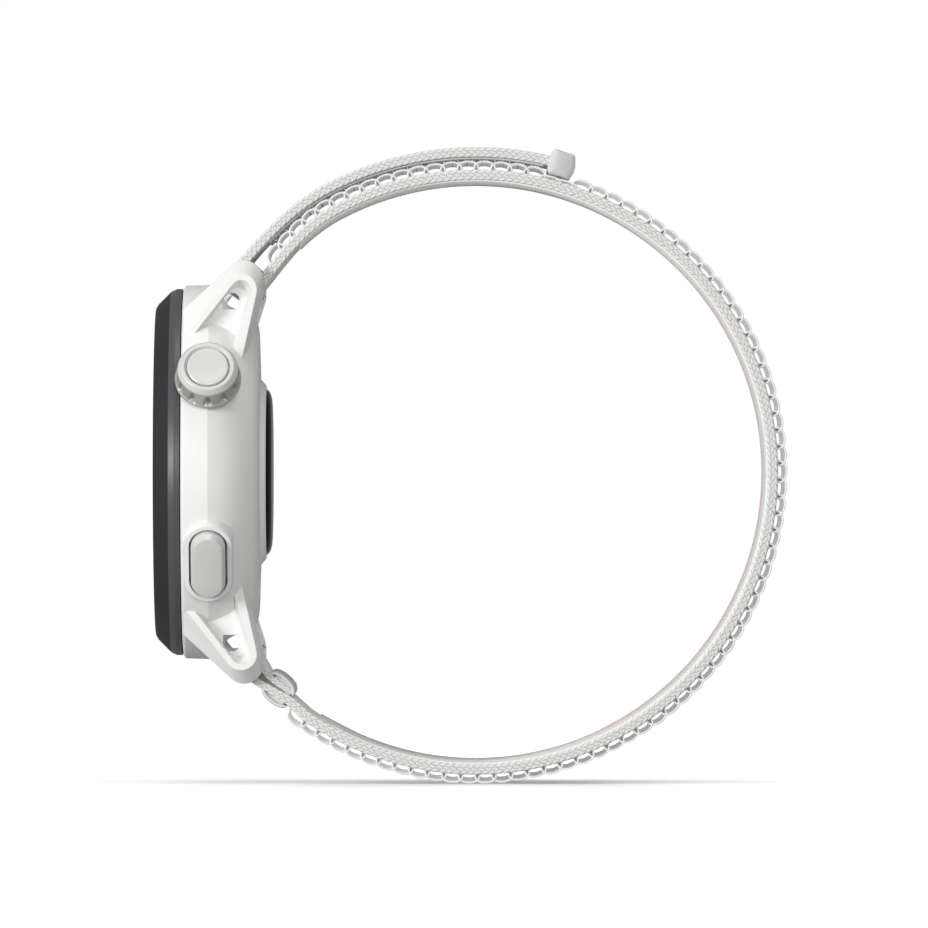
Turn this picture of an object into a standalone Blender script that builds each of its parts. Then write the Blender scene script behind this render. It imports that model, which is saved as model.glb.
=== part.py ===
"""GPS running watch: a round sports watch on a closed hook-and-loop strap.

Frame: the origin is the middle of the sensor window's outer face. +X points into the
wrist, +Z to 12 o'clock and -Y to the crown side. Sizes are in millimetres and MM turns
them into metres. Turned parts of the case use heights measured from the wrist face
towards the dial, so a height h lies at X = -h.
"""
import math

import bmesh
import bpy

MM = 0.001
WELD = 1e-7                 # metres, joins the loose caps of a filled outline

# Case
CASE_R = 20.95              # widest radius
CASE_WIDE_H = 6.9           # height of the widest line, where crown and button sit
CASE_FRONT_H = 9.95
BORE_R = 17.0               # inside of the case wall
LEDGE_H = 9.1               # step that carries the inner chassis
COVER_R = 16.0
SCREW_CIRCLE_R = 13.9
SCREW_ANGLES = (45, 135, 225, 315)
ROUND_STEPS = 48
SMALL_STEPS = 16

# Lugs and spring bars
LUG_INSIDE_Y = 11.0
LUG_RIM_Y = 14.1
BAR_X = -3.0
BAR_Z = 21.2
BAR_R = 0.75
TIP_R = 0.4
TIP_REACH_Y = 11.9
POCKET_R = 3.2              # clearance round the bar, cut into the case
LEVER_Y = -7.0              # where the release lever leaves the bar
LEVER_SLOT_REACH = 1.5      # middle of the bar's slot, out from its axis
STRAP_SLOT_REACH = 2.1      # middle of the strap's slot, out from the bar's axis

# Crown and button, distances s along their radial axes
CONTROL_TILT = math.radians(28.5)
CROWN_BASE_S = 21.5
CROWN_TOP_S = 24.5
CROWN_R = 3.67
NOTCHES = 12
NOTCH_CIRCLE_R = 3.55
BUTTON_TOP_S = 22.4
BUTTON_RIM_S = 21.3

# Strap
STRAP_X = 22.7              # centre of the strap's circle, at Z = 0
STRAP_HALF_WIDTH = 10.8
BAND_MID_R = 33.06
BAND_HALF = 0.59
LOOP_HEIGHT = 0.95
TAIL_MID_R = 35.6
TAIL_HALF = 0.55
WRAP_R = 1.5                # middle of the strap where it goes round a bar
SKIN_GAP = 0.06
LOOP_START, LOOP_STOP = 134.0, -127.5
PRESSED_HEIGHT = 0.35       # loops under the end tab
KEEPER_RAIL_Y = 9.6         # middle of the slots for the keeper's side rails
TAB_FROM, TAB_TO = 76.7, 72.4
ARC_STEP = 4.0


# ---------------------------------------------------------------- scene and materials

def clear_scene():
    for obj in list(bpy.data.objects):
        bpy.data.objects.remove(obj, do_unlink=True)


def new_collection(name):
    group = bpy.data.collections.new(name)
    bpy.context.scene.collection.children.link(group)
    return group


def finish(name, colour, roughness, metallic=0.0):
    made = bpy.data.materials.new(name)
    made.use_nodes = True
    shader = made.node_tree.nodes["Principled BSDF"]
    shader.inputs["Base Color"].default_value = (*colour, 1.0)
    shader.inputs["Roughness"].default_value = roughness
    shader.inputs["Metallic"].default_value = metallic
    return made


clear_scene()
PARTS = new_collection("gps_running_watch")
CUTTERS = new_collection("cutters")

WHITE_SHELL = finish("white_shell", (0.80, 0.80, 0.79), 0.38)
BLACK_BEZEL = finish("black_bezel", (0.035, 0.035, 0.038), 0.55)
CLEAR_GLASS = finish("clear_glass", (0.02, 0.022, 0.025), 0.05)
PANEL = finish("panel", (0.10, 0.12, 0.11), 0.35)
SEAL = finish("seal", (0.03, 0.03, 0.03), 0.75)
BOARD = finish("board", (0.02, 0.16, 0.08), 0.45)
CHASSIS = finish("chassis", (0.10, 0.10, 0.11), 0.55)
FOIL = finish("foil", (0.55, 0.56, 0.60), 0.32, 0.7)
STEEL = finish("steel", (0.62, 0.62, 0.62), 0.25, 1.0)
GOLD = finish("gold", (0.83, 0.62, 0.28), 0.25, 1.0)
KNOB = finish("knob", (0.70, 0.70, 0.69), 0.28, 0.5)
BRAID = finish("braid", (0.77, 0.78, 0.75), 0.85)
LINING = finish("lining", (0.66, 0.66, 0.65), 0.55)
LOOPS = finish("loops", (0.80, 0.80, 0.80), 0.45)
HOOKS = finish("hooks", (0.20, 0.20, 0.20), 0.70)
CLIP = finish("clip", (0.60, 0.61, 0.60), 0.40)
EMITTER = finish("emitter", (0.05, 0.55, 0.15), 0.20)


# ---------------------------------------------------------------- outlines

def polar(radius, degrees, centre=(0.0, 0.0)):
    angle = math.radians(degrees)
    return (centre[0] + radius * math.cos(angle), centre[1] + radius * math.sin(angle))


def arc(centre, radius, start, stop, count):
    """Points along an arc, both ends included, angles in degrees."""
    step = (stop - start) / (count - 1)
    return [polar(radius, start + step * i, centre) for i in range(count)]


def rounded(corners, segments=7):
    """Polygon through (x, y, radius) corners; a radius above 0 becomes a tangent arc."""
    points = []
    total = len(corners)
    for i, (x, y, radius) in enumerate(corners):
        if radius == 0:
            points.append((x, y))
            continue
        before, after = corners[i - 1], corners[(i + 1) % total]
        back = math.atan2(before[1] - y, before[0] - x)
        ahead = math.atan2(after[1] - y, after[0] - x)
        half = ((ahead - back + math.pi) % (2 * math.pi) - math.pi) / 2
        bisector = back + half
        reach = radius / abs(math.sin(half))
        centre = (x + reach * math.cos(bisector), y + reach * math.sin(bisector))
        sweep = math.copysign(90.0 - abs(math.degrees(half)), half)
        middle = math.degrees(bisector) + 180.0
        points += arc(centre, radius, middle + sweep, middle - sweep, segments + 1)
    return points


def stadium(width, length, segments=8):
    """Straight sides along Y closed by two half circles."""
    radius = width / 2
    run = length / 2 - radius
    return (arc((0, run), radius, 0, 180, segments + 1)
            + arc((0, -run), radius, 180, 360, segments + 1))


def mirrored(outline, side):
    return [(x, y * side) for x, y in outline]


def smooth(value):
    """Ease from 0 to 1 with level ends."""
    t = min(max(value, 0.0), 1.0)
    return t * t * (3 - 2 * t)


def ribbon(path, halves):
    """Closed outline of a strip: the path offset to both sides by each point's half."""
    left, right = [], []
    last = len(path) - 1
    for i, (x, y) in enumerate(path):
        ax, ay = path[max(i - 1, 0)]
        bx, by = path[min(i + 1, last)]
        length = math.hypot(bx - ax, by - ay)
        nx, ny = -(by - ay) / length, (bx - ax) / length
        left.append((x + nx * halves[i], y + ny * halves[i]))
        right.append((x - nx * halves[i], y - ny * halves[i]))
    return left + right[::-1]


# ---------------------------------------------------------------- solids

def add(name, mesh, material, parent, cutter=False):
    obj = bpy.data.objects.new(name, mesh)
    (CUTTERS if cutter else PARTS).objects.link(obj)
    obj.parent = parent
    if cutter:
        obj.hide_render = True
        obj.display_type = "WIRE"
    else:
        mesh.materials.append(material)
    return obj


def frame_empty(name, location, rotation, parent=None):
    empty = bpy.data.objects.new(name, None)
    empty.empty_display_size = 5 * MM
    empty.location = [value * MM for value in location]
    empty.rotation_euler = rotation
    empty.parent = parent
    PARTS.objects.link(empty)
    return empty


def turned(name, profile, material, parent, steps=ROUND_STEPS, cutter=False):
    """(height, radius) points, down the outer side, turned about the local Z axis."""
    points = [(radius * MM, 0.0, height * MM) for height, radius in profile]
    edges = [(i, i + 1) for i in range(len(points) - 1)]
    if profile[0][1] > 0:
        edges.append((len(points) - 1, 0))
    mesh = bpy.data.meshes.new(name)
    mesh.from_pydata(points, edges, [])
    obj = add(name, mesh, material, parent, cutter)
    screw = obj.modifiers.new("turn", "SCREW")
    screw.axis = "Z"
    screw.steps = steps
    screw.render_steps = steps
    screw.use_merge_vertices = True
    screw.merge_threshold = 1e-6
    screw.use_smooth_shade = True
    return obj


def rod(name, radius, low, high, material, parent, steps=SMALL_STEPS, cutter=False):
    profile = [(high, 0), (high, radius), (low, radius), (low, 0)]
    return turned(name, profile, material, parent, steps, cutter)


def prism(name, outlines, low, high, material, parent, cutter=False):
    """Filled outline, with any further outlines as holes, between two local heights."""
    curve = bpy.data.curves.new(name, "CURVE")
    curve.dimensions = "2D"
    curve.fill_mode = "BOTH"
    curve.extrude = (high - low) / 2 * MM
    for outline in outlines:
        spline = curve.splines.new("POLY")
        spline.points.add(len(outline) - 1)
        for point, (x, y) in zip(spline.points, outline):
            point.co = (x * MM, y * MM, 0.0, 1.0)
        spline.use_cyclic_u = True
    guide = bpy.data.objects.new(name + "_outline", curve)
    CUTTERS.objects.link(guide)
    guide.location.z = (low + high) / 2 * MM
    mesh = welded_mesh(name, guide)
    return add(name, mesh, material, parent, cutter)


def welded_mesh(name, guide):
    """Mesh of a curve object with its caps welded on; the curve is removed."""
    bpy.context.view_layer.update()
    ready = guide.evaluated_get(bpy.context.evaluated_depsgraph_get())
    mesh = bpy.data.meshes.new_from_object(ready)
    mesh.name = name
    mesh.transform(guide.matrix_world)
    shape = bmesh.new()
    shape.from_mesh(mesh)
    bmesh.ops.remove_doubles(shape, verts=shape.verts, dist=WELD)
    bmesh.ops.recalc_face_normals(shape, faces=shape.faces)
    shape.to_mesh(mesh)
    shape.free()
    mesh.materials.clear()
    bpy.data.objects.remove(guide, do_unlink=True)
    return mesh


def loft(name, sections, material, parent, cutter=False):
    """Skin over (height, outline) sections that have the same number of points."""
    shape = bmesh.new()
    rings = [[shape.verts.new((x * MM, y * MM, height * MM)) for x, y in outline]
             for height, outline in sections]
    count = len(rings[0])
    for low, high in zip(rings, rings[1:]):
        for i in range(count):
            j = (i + 1) % count
            shape.faces.new((low[i], low[j], high[j], high[i]))
    shape.faces.new(rings[0][::-1])
    shape.faces.new(rings[-1])
    bmesh.ops.recalc_face_normals(shape, faces=shape.faces)
    mesh = bpy.data.meshes.new(name)
    shape.to_mesh(mesh)
    shape.free()
    return add(name, mesh, material, parent, cutter)


def block(name, centre, size, material, parent, cutter=False):
    shape = bmesh.new()
    bmesh.ops.create_cube(shape, size=1.0)
    bmesh.ops.scale(shape, vec=[value * MM for value in size], verts=shape.verts)
    mesh = bpy.data.meshes.new(name)
    shape.to_mesh(mesh)
    shape.free()
    obj = add(name, mesh, material, parent, cutter)
    obj.location = [value * MM for value in centre]
    return obj


def combine(obj, tool, operation="DIFFERENCE"):
    step = obj.modifiers.new(tool.name, "BOOLEAN")
    step.operation = operation
    step.solver = "EXACT"
    step.object = tool


# ---------------------------------------------------------------- frames of the parts

QUARTER = math.pi / 2
DIAL = frame_empty("dial_axis", (0, 0, 0), (0, -QUARTER, 0))
SIDE = frame_empty("side_plane", (0, 0, 0), (QUARTER, 0, 0))
CROWN = frame_empty("crown_axis", (-CASE_WIDE_H, 0, 0), (QUARTER - CONTROL_TILT, 0, 0))
BUTTON = frame_empty("button_axis", (-CASE_WIDE_H, 0, 0), (QUARTER + CONTROL_TILT, 0, 0))
BARS = {
    "upper": frame_empty("upper_bar_axis", (BAR_X, 0, BAR_Z), (-QUARTER, 0, 0)),
    "lower": frame_empty("lower_bar_axis", (BAR_X, 0, -BAR_Z), (-QUARTER, 0, 0)),
}
TAIL = frame_empty("tail_axis", (BAR_X, 0, BAR_Z), (QUARTER, 0, 0))
STRAP_CENTRE = (STRAP_X, 0.0)
KEEPER_MIDDLE = polar(32.55, 228.0, STRAP_CENTRE)
KEEPER_LEAN = math.radians(238.0)
BAR_REACH = math.hypot(STRAP_X - BAR_X, BAR_Z)
BAR_ANGLE = math.degrees(math.atan2(BAR_Z, BAR_X - STRAP_X))


# ---------------------------------------------------------------- case and its lugs

def make_lug(side_y, side_z):
    """One horn: a drafted plate with a raised V rim, a scoop and a window."""
    tag = "lug_%s%s" % ("u" if side_z > 0 else "l", "n" if side_y > 0 else "f")
    base = rounded([(-9.85, 15.8, 0), (-9.85, 17.97, 0), (-0.95, 26.18, 2.1),
                    (-0.9, 19.5, 0), (-2.25, 15.2, 0), (-2.6, 13.45, 0), (-6.0, 13.45, 0)])
    rim = rounded([(-9.7, 13.6, 0), (-9.7, 15.0, 0), (0.09, 27.43, 1.77),
                   (-1.68, 19.5, 0), (-2.64, 15.2, 0), (-3.3, 12.2, 0), (-6.0, 12.2, 0)])
    scoop = rounded([(-9.64, 13.9, 0), (-0.35, 25.79, 1.14), (-4.91, 11.2, 0),
                     (-9.64, 11.2, 0)])
    window = rounded([(-5.35, 18.1, 0), (-5.35, 19.9, 0.85), (-3.5, 19.9, 0.8),
                      (-3.6, 18.1, 0)], 4)
    draft_from = LUG_INSIDE_Y + 1.0
    scoop_floor = LUG_RIM_Y - 1.6
    plate = loft(tag, [(side_y * LUG_INSIDE_Y, mirrored(base, side_z)),
                       (side_y * draft_from, mirrored(base, side_z)),
                       (side_y * LUG_RIM_Y, mirrored(rim, side_z))], None, SIDE, True)
    low, high = sorted((side_y * scoop_floor, side_y * (LUG_RIM_Y + 0.5)))
    combine(plate, prism(tag + "_scoop", [mirrored(scoop, side_z)], low, high,
                         None, SIDE, True))
    low, high = sorted((side_y * (LUG_INSIDE_Y - 0.5), side_y * (scoop_floor + 0.5)))
    combine(plate, prism(tag + "_window", [mirrored(window, side_z)], low, high,
                         None, SIDE, True))
    low, high = sorted((side_y * (LUG_INSIDE_Y - 0.5), side_y * (TIP_REACH_Y + 0.1)))
    hole = arc((BAR_X, side_z * BAR_Z), TIP_R + 0.1, 0, 337.5, SMALL_STEPS)
    combine(plate, prism(tag + "_bar_hole", [hole], low, high, None, SIDE, True))
    return plate


def make_case():
    """Round white shell: turned wall, four lugs, control seats and two strap pockets."""
    case = turned("case_body", [
        (CASE_FRONT_H, 0), (CASE_FRONT_H, 20.55), (9.72, 20.85), (CASE_WIDE_H, CASE_R),
        (5.5, 20.45), (4.3, 19.8), (3.3, 19.0), (2.6, 18.2), (2.1, 17.5), (1.75, 16.8),
        (1.52, 16.1), (1.52, 0)], WHITE_SHELL, DIAL)
    for side_y in (1, -1):
        for side_z in (1, -1):
            combine(case, make_lug(side_y, side_z), "UNION")
    seat = prism("button_seat", [stadium(5.4, 9.6)], 18.6, BUTTON_RIM_S, None, BUTTON, True)
    combine(case, seat, "UNION")
    cavity = turned("case_cavity", [
        (11.0, 0), (11.0, 19.0), (9.3, 19.0), (9.3, 18.5), (LEDGE_H, 18.5),
        (LEDGE_H, BORE_R), (3.6, BORE_R), (3.6, 15.2), (3.1, 15.2), (3.1, 15.8),
        (2.75, 15.8), (2.75, COVER_R + 0.1), (-1.0, COVER_R + 0.1), (-1.0, 0)],
        None, DIAL, cutter=True)
    combine(case, cavity)
    for side in (1, -1):
        pocket = ([(BAR_X - POCKET_R, 26.0)]
                  + arc((BAR_X, BAR_Z), POCKET_R, 180, 360, 11)
                  + [(BAR_X + POCKET_R, 26.0)])
        half = LUG_INSIDE_Y - 0.05
        combine(case, prism("strap_pocket_%s" % ("u" if side > 0 else "l"),
                            [mirrored(pocket, side)], -half, half, None, SIDE, True))
    combine(case, rod("crown_bore", 1.65, 15.5, 22.5, None, CROWN, 24, True))
    combine(case, prism("button_slot", [stadium(4.26, 8.5)], 19.2, 23.0, None, BUTTON, True))
    combine(case, rod("button_bore", 0.8, 15.5, 20.0, None, BUTTON, SMALL_STEPS, True))
    for i in range(3):
        vent = rod("vent_%d" % (i + 1), 0.3, 15.5, 22.5, None, SIDE, 8, True)
        vent.location = (-CASE_WIDE_H * MM, (i - 1) * 1.2 * MM, 0)
        vent.rotation_euler = (math.pi, 0, 0)
        combine(case, vent)


def make_bezel_group():
    """Black bezel ring, its glass, and the seal under it."""
    turned("bezel", [
        (13.05, 16.5), (13.05, 18.3), (12.75, 18.8), (11.3, 20.25), (10.05, 20.5),
        (10.05, 18.4), (9.2, 18.4), (9.2, 17.6), (11.0, 17.6), (11.0, 15.6),
        (11.6, 15.6), (11.6, 16.5)], BLACK_BEZEL, DIAL)
    turned("display_glass", [(12.95, 0), (12.95, 16.1), (12.7, 16.4), (11.7, 16.4),
                             (11.7, 0)], CLEAR_GLASS, DIAL)
    turned("front_gasket", [(9.98, 18.47), (9.98, 18.93), (9.38, 18.93), (9.38, 18.47)],
           SEAL, DIAL)


def make_rear_group():
    """Rear cover with the sensor bump, its window, seal, screws and charging socket."""
    cover = turned("rear_cover", [
        (3.3, 8.3), (3.3, 15.1), (2.65, 15.1), (2.65, COVER_R), (1.62, COVER_R),
        (1.5, 15.8), (1.42, 13.5), (1.35, 10.45), (0.72, 9.72), (0.67, 9.55),
        (0.67, 9.35), (1.9, 9.35), (1.9, 8.3)], WHITE_SHELL, DIAL)
    turned("sensor_window", [(1.85, 0), (1.85, 9.25), (0.67, 9.25), (0.3, 8.9),
                             (0.08, 8.2), (0, 7.0), (0, 0)], CLEAR_GLASS, DIAL, 36)
    turned("rear_gasket", [(3.05, 15.25), (3.05, 15.72), (2.72, 15.72), (2.72, 15.25)],
           SEAL, DIAL)
    for i, angle in enumerate(SCREW_ANGLES):
        z, y = polar(SCREW_CIRCLE_R, angle)
        place = (z * MM, y * MM, 0)
        for radius, low, high in ((0.5, 0.0, 5.3), (0.95, 0.0, 2.2)):
            hole = rod("screw_hole_%d_%d" % (i + 1, high), radius, low, high,
                       None, DIAL, 12, True)
            hole.location = place
            combine(cover, hole)
        screw = turned("cover_screw_%d" % (i + 1), [
            (5.0, 0), (4.8, 0.36), (2.15, 0.4), (2.15, 0.85), (1.65, 0.85), (1.55, 0.7),
            (1.55, 0)], STEEL, DIAL, 12)
        screw.location = place
        drive = prism("screw_drive_%d" % (i + 1), [arc((0, 0), 0.42, 0, 300, 6)],
                      1.0, 1.85, None, DIAL, True)
        drive.location = place
        combine(screw, drive)
    socket = block("socket_opening", (-12.5, 0, 2.0), (3.1, 9.1, 4.0), None, DIAL, True)
    combine(cover, socket)
    holder = block("contact_block", (-12.5, 0, 2.9), (3.0, 9.0, 2.0), CHASSIS, DIAL)
    for i in range(4):
        y = (i - 1.5) * 2.2
        place = (-12.5 * MM, y * MM, 0)
        hole = rod("pin_hole_%d" % (i + 1), 0.47, 1.0, 4.6, None, DIAL, 8, True)
        hole.location = place
        combine(holder, hole)
        pin = turned("charge_pin_%d" % (i + 1), [(4.3, 0), (4.3, 0.4), (1.7, 0.4),
                                                 (1.6, 0.3), (1.6, 0)], GOLD, DIAL, 8)
        pin.location = place


def make_inside():
    """What the case holds: panel, antenna, chassis, battery, boards and sensors."""
    turned("display_panel", [(11.6, 0), (11.6, 15.4), (10.4, 15.4), (10.4, 0)], PANEL, DIAL)
    antenna = turned("gps_antenna", [(10.8, 16.3), (10.8, 17.4), (10.35, 17.4),
                                     (10.35, 16.3)], GOLD, DIAL, 32)
    combine(antenna, block("antenna_gap", (-17, 0, 10.5), (4, 3, 2), None, DIAL, True))
    chassis = turned("inner_chassis", [(10.25, 0), (10.25, 17.5), (9.15, 17.5),
                                       (9.15, 16.5), (9.6, 16.5), (9.6, 0)], CHASSIS, DIAL, 32)
    board = turned("main_board", [(5.3, 0), (5.3, 16.3), (4.6, 16.3), (4.6, 0)],
                   BOARD, DIAL, 32)
    for i, angle in enumerate(SCREW_ANGLES):
        z, y = polar(SCREW_CIRCLE_R, angle)
        place = (z * MM, y * MM, 0)
        post = rod("post_%d" % (i + 1), 1.15, 3.36, 9.9, None, DIAL, 12, True)
        hole = rod("post_hole_%d" % (i + 1), 0.5, 3.0, 5.3, None, DIAL, 12, True)
        gap = rod("board_gap_%d" % (i + 1), 1.35, 4.0, 6.0, None, DIAL, 12, True)
        for tool in (post, hole, gap):
            tool.location = place
        combine(chassis, post, "UNION")
        combine(chassis, hole)
        combine(board, gap)
    battery = block("battery", (0, 0, 8.02), (16.8, 16.8, 2.86), FOIL, DIAL)
    soften = battery.modifiers.new("soften", "BEVEL")
    soften.width = 0.6 * MM
    soften.segments = 2
    block("processor_shield", (1.0, 0, 5.93), (8.0, 10.0, 1.1), STEEL, DIAL)
    block("barometer_sensor", (0, 14.2, 5.85), (2.2, 2.0, 0.9), STEEL, DIAL)
    motor = rod("vibration_motor", 2.9, 5.4, 8.2, STEEL, DIAL, 24)
    motor.location = (-12.0 * MM, 0, 0)
    turned("sensor_board", [(2.9, 0), (2.9, 8.1), (2.4, 8.1), (2.4, 0)], BOARD, DIAL, 32)
    for name, z, y, high, wide, material in (
            ("green_led_upper", 1.6, 0, 1.5, 1.5, EMITTER),
            ("green_led_lower", -1.6, 0, 1.5, 1.5, EMITTER),
            ("photodiode_left", 0, 5.2, 3.0, 2.0, CHASSIS),
            ("photodiode_right", 0, -5.2, 3.0, 2.0, CHASSIS)):
        block(name, (z, y, 2.15), (high, wide, 0.36), material, DIAL)
    membrane = rod("vent_membrane", 1.8, -16.65, -16.45, SEAL, SIDE, 12)
    membrane.location = (-CASE_WIDE_H * MM, 0, 0)


# ---------------------------------------------------------------- crown and button

def make_crown():
    """Turning and pressing crown: knob, cap, stem with seal and clip, tube, plunger."""
    knob = turned("crown_knob", [
        (23.95, 0), (23.95, 2.36), (CROWN_TOP_S, 2.36), (CROWN_TOP_S, 2.9), (24.05, 3.26),
        (21.95, 3.45), (21.8, CROWN_R), (CROWN_BASE_S, CROWN_R), (CROWN_BASE_S, 0)],
        KNOB, CROWN, 36)
    for i in range(NOTCHES):
        x, y = polar(NOTCH_CIRCLE_R, 360.0 / NOTCHES * (i + 0.5))
        notch = rod("notch_%02d" % (i + 1), 0.3, 21.95, 24.1, None, CROWN, 8, True)
        notch.location = (x * MM, y * MM, 0)
        combine(knob, notch)
    combine(knob, rod("stem_socket", 1.05, 20.0, 22.9, None, CROWN, SMALL_STEPS, True))
    turned("crown_cap", [(24.53, 0), (24.47, 2.1), (24.4, 2.3), (24.0, 2.3), (24.0, 0)],
           KNOB, CROWN, 24)
    turned("crown_stem", [
        (22.85, 0), (22.85, 1.0), (18.95, 1.0), (18.95, 0.7), (18.35, 0.7), (18.35, 1.0),
        (16.5, 1.0), (16.5, 0.7), (16.2, 0.7), (16.2, 1.0), (15.7, 1.0), (15.7, 0)],
        STEEL, CROWN, SMALL_STEPS)
    turned("crown_oring", [(18.9, 0.76), (18.9, 1.1), (18.4, 1.1), (18.4, 0.76)],
           SEAL, CROWN, SMALL_STEPS)
    turned("crown_clip", [(16.42, 0.76), (16.42, 1.45), (16.27, 1.45), (16.27, 0.76)],
           STEEL, CROWN, SMALL_STEPS)
    turned("crown_tube", [(20.3, 1.16), (20.3, 1.6), (16.52, 1.6), (16.52, 1.16)],
           STEEL, CROWN, 24)
    rod("crown_plunger", 1.0, 14.3, 15.64, CHASSIS, CROWN, SMALL_STEPS)
    block("crown_switch", (0, 0, 13.08), (2.4, 3.0, 1.3), STEEL, CROWN)
    block("crown_encoder", (0, -2.5, 15.1), (1.8, 1.4, 1.2), CHASSIS, CROWN)


def make_button():
    """Pressing button: cap in its slot, stem with seal and clip, and the switch."""
    cap_base = stadium(3.95, 8.15)
    cap_face = stadium(3.2, 7.45)
    loft("button_cap", [(19.75, cap_base), (BUTTON_TOP_S - 0.6, cap_base),
                        (BUTTON_TOP_S, cap_face)], KNOB, BUTTON)
    turned("button_stem", [
        (19.68, 0), (19.68, 0.7), (18.25, 0.7), (18.25, 0.45), (17.75, 0.45),
        (17.75, 0.7), (16.75, 0.7), (16.75, 0.45), (16.5, 0.45), (16.5, 0.7),
        (15.9, 0.7), (15.9, 0)], STEEL, BUTTON, SMALL_STEPS)
    turned("button_oring", [(18.2, 0.5), (18.2, 0.76), (17.8, 0.76), (17.8, 0.5)],
           SEAL, BUTTON, SMALL_STEPS)
    turned("button_clip", [(16.7, 0.5), (16.7, 1.15), (16.55, 1.15), (16.55, 0.5)],
           STEEL, BUTTON, SMALL_STEPS)
    block("button_switch", (0, 0, 14.7), (2.4, 3.0, 1.3), STEEL, BUTTON)


# ---------------------------------------------------------------- spring bars

def make_spring_bar(end):
    """Bar between the lugs: tube, fixed tip, coil spring and the quick-release pin."""
    axis = BARS[end]
    wrist_side = -1 if end == "lower" else 1
    lever_angle = math.radians(-BAR_ANGLE) * wrist_side
    tube = turned(end + "_bar_tube", [(9.9, 0.5), (9.9, BAR_R), (-9.9, BAR_R), (-9.9, 0.5)],
                  STEEL, axis, SMALL_STEPS)
    middle = (-LEVER_SLOT_REACH * math.cos(lever_angle),
              -LEVER_SLOT_REACH * math.sin(lever_angle), -LEVER_Y)
    slot = block(end + "_lever_slot", middle, (3.0, 0.7, 2.3), None, axis, True)
    slot.rotation_euler = (0, 0, lever_angle)
    combine(tube, slot)
    rod(end + "_fixed_tip", TIP_R, -TIP_REACH_Y, -8.5, STEEL, axis, 12)
    pin = rod(end + "_release_pin", TIP_R, 6.2, TIP_REACH_Y, STEEL, axis, 12)
    lever = rod(end + "_lever", 0.22, 0.0, 2.6, None, axis, 8, True)
    lever.location = (0, 0, 7.55 * MM)
    lever.rotation_euler = (0, -QUARTER, lever_angle)
    combine(pin, lever, "UNION")
    make_bar_spring(end, axis)


def make_bar_spring(end, axis):
    """Small coil inside the tube, behind the release pin's full travel."""
    turns, per_turn, radius, wire = 5, 6, 0.3, 0.09
    start, stop = -8.2, 4.8
    curve = bpy.data.curves.new(end + "_bar_spring", "CURVE")
    curve.dimensions = "3D"
    curve.bevel_depth = wire * MM
    curve.bevel_resolution = 1
    curve.use_fill_caps = True
    spline = curve.splines.new("POLY")
    total = turns * per_turn
    spline.points.add(total)
    for i in range(total + 1):
        x, y = polar(radius, 360.0 / per_turn * i)
        height = start + (stop - start) * i / total
        spline.points[i].co = (x * MM, y * MM, height * MM, 1.0)
    guide = bpy.data.objects.new(end + "_coil", curve)
    CUTTERS.objects.link(guide)
    mesh = welded_mesh(end + "_bar_spring", guide)
    add(end + "_bar_spring", mesh, STEEL, axis)


# ---------------------------------------------------------------- strap

def band_radius(degrees):
    """Middle of the band: round, easing inwards to pass the upper bar's wrist side."""
    eased = smooth((degrees - 119.0) / (BAR_ANGLE - 119.0))
    return BAND_MID_R + (BAR_REACH - WRAP_R - BAND_MID_R) * eased


def tail_radius(degrees):
    """Middle of the tail: round, easing inwards to leave the bar's outer side."""
    eased = smooth((degrees - 117.0) / (BAR_ANGLE - 117.0))
    return TAIL_MID_R + (BAR_REACH + WRAP_R - TAIL_MID_R) * eased


def angles_between(start, stop):
    count = max(int(round(abs(stop - start) / ARC_STEP)), 1)
    return [start + (stop - start) * i / count for i in range(count + 1)]


def tangent_angle(centre, radius, point, turn):
    """Direction in which a line from the point touches a circle round a bar."""
    dx, dy = point[0] - centre[0], point[1] - centre[1]
    offset = math.degrees(math.acos(radius / math.hypot(dx, dy)))
    return math.degrees(math.atan2(dy, dx)) + turn * offset


def beside_keeper(along, inward):
    """Point measured from the keeper's middle, along the strap and towards the wrist."""
    x, y = KEEPER_MIDDLE
    cosine, sine = math.cos(KEEPER_LEAN), math.sin(KEEPER_LEAN)
    return (x - along * sine - inward * cosine, y + along * cosine - inward * sine)


def lower_wrap():
    """Path and halves round the lower bar: thin on the outside, full on the wrist side."""
    lower = (BAR_X, -BAR_Z)
    outer_layer = polar(32.78, 231.0, STRAP_CENTRE)
    inner_layer = [beside_keeper(-1.9, 0.62), beside_keeper(0.0, 0.46),
                   beside_keeper(2.2, 0.45)]
    thin, full = 1.12, 1.42
    arrive = tangent_angle(lower, thin, outer_layer, -1)
    leave = tangent_angle(lower, full, inner_layer[0], 1) - 360.0
    path, halves = [outer_layer], [0.55]
    count = 15
    for i in range(count):
        share = i / (count - 1)
        path.append(polar(thin + (full - thin) * share,
                          arrive + (leave - arrive) * share, lower))
        halves.append(0.32 + 0.23 * share)
    return path + inner_layer, halves + [0.38, 0.33, 0.31]


def band_outline():
    """The band's whole path: upper wrap, the round, lower wrap and the return layer."""
    wrist_side = BAR_ANGLE - 180.0
    path = arc((BAR_X, BAR_Z), WRAP_R, wrist_side - 90.0, wrist_side, 9)
    path += [polar(band_radius(a), a, STRAP_CENTRE) for a in angles_between(137.5, 117.5)]
    path += [polar(band_radius(a), a, STRAP_CENTRE) for a in angles_between(113.5, -124.5)]
    halves = [BAND_HALF] * len(path)
    lower_path, lower_halves = lower_wrap()
    return ribbon(path + lower_path, halves + lower_halves)


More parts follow.
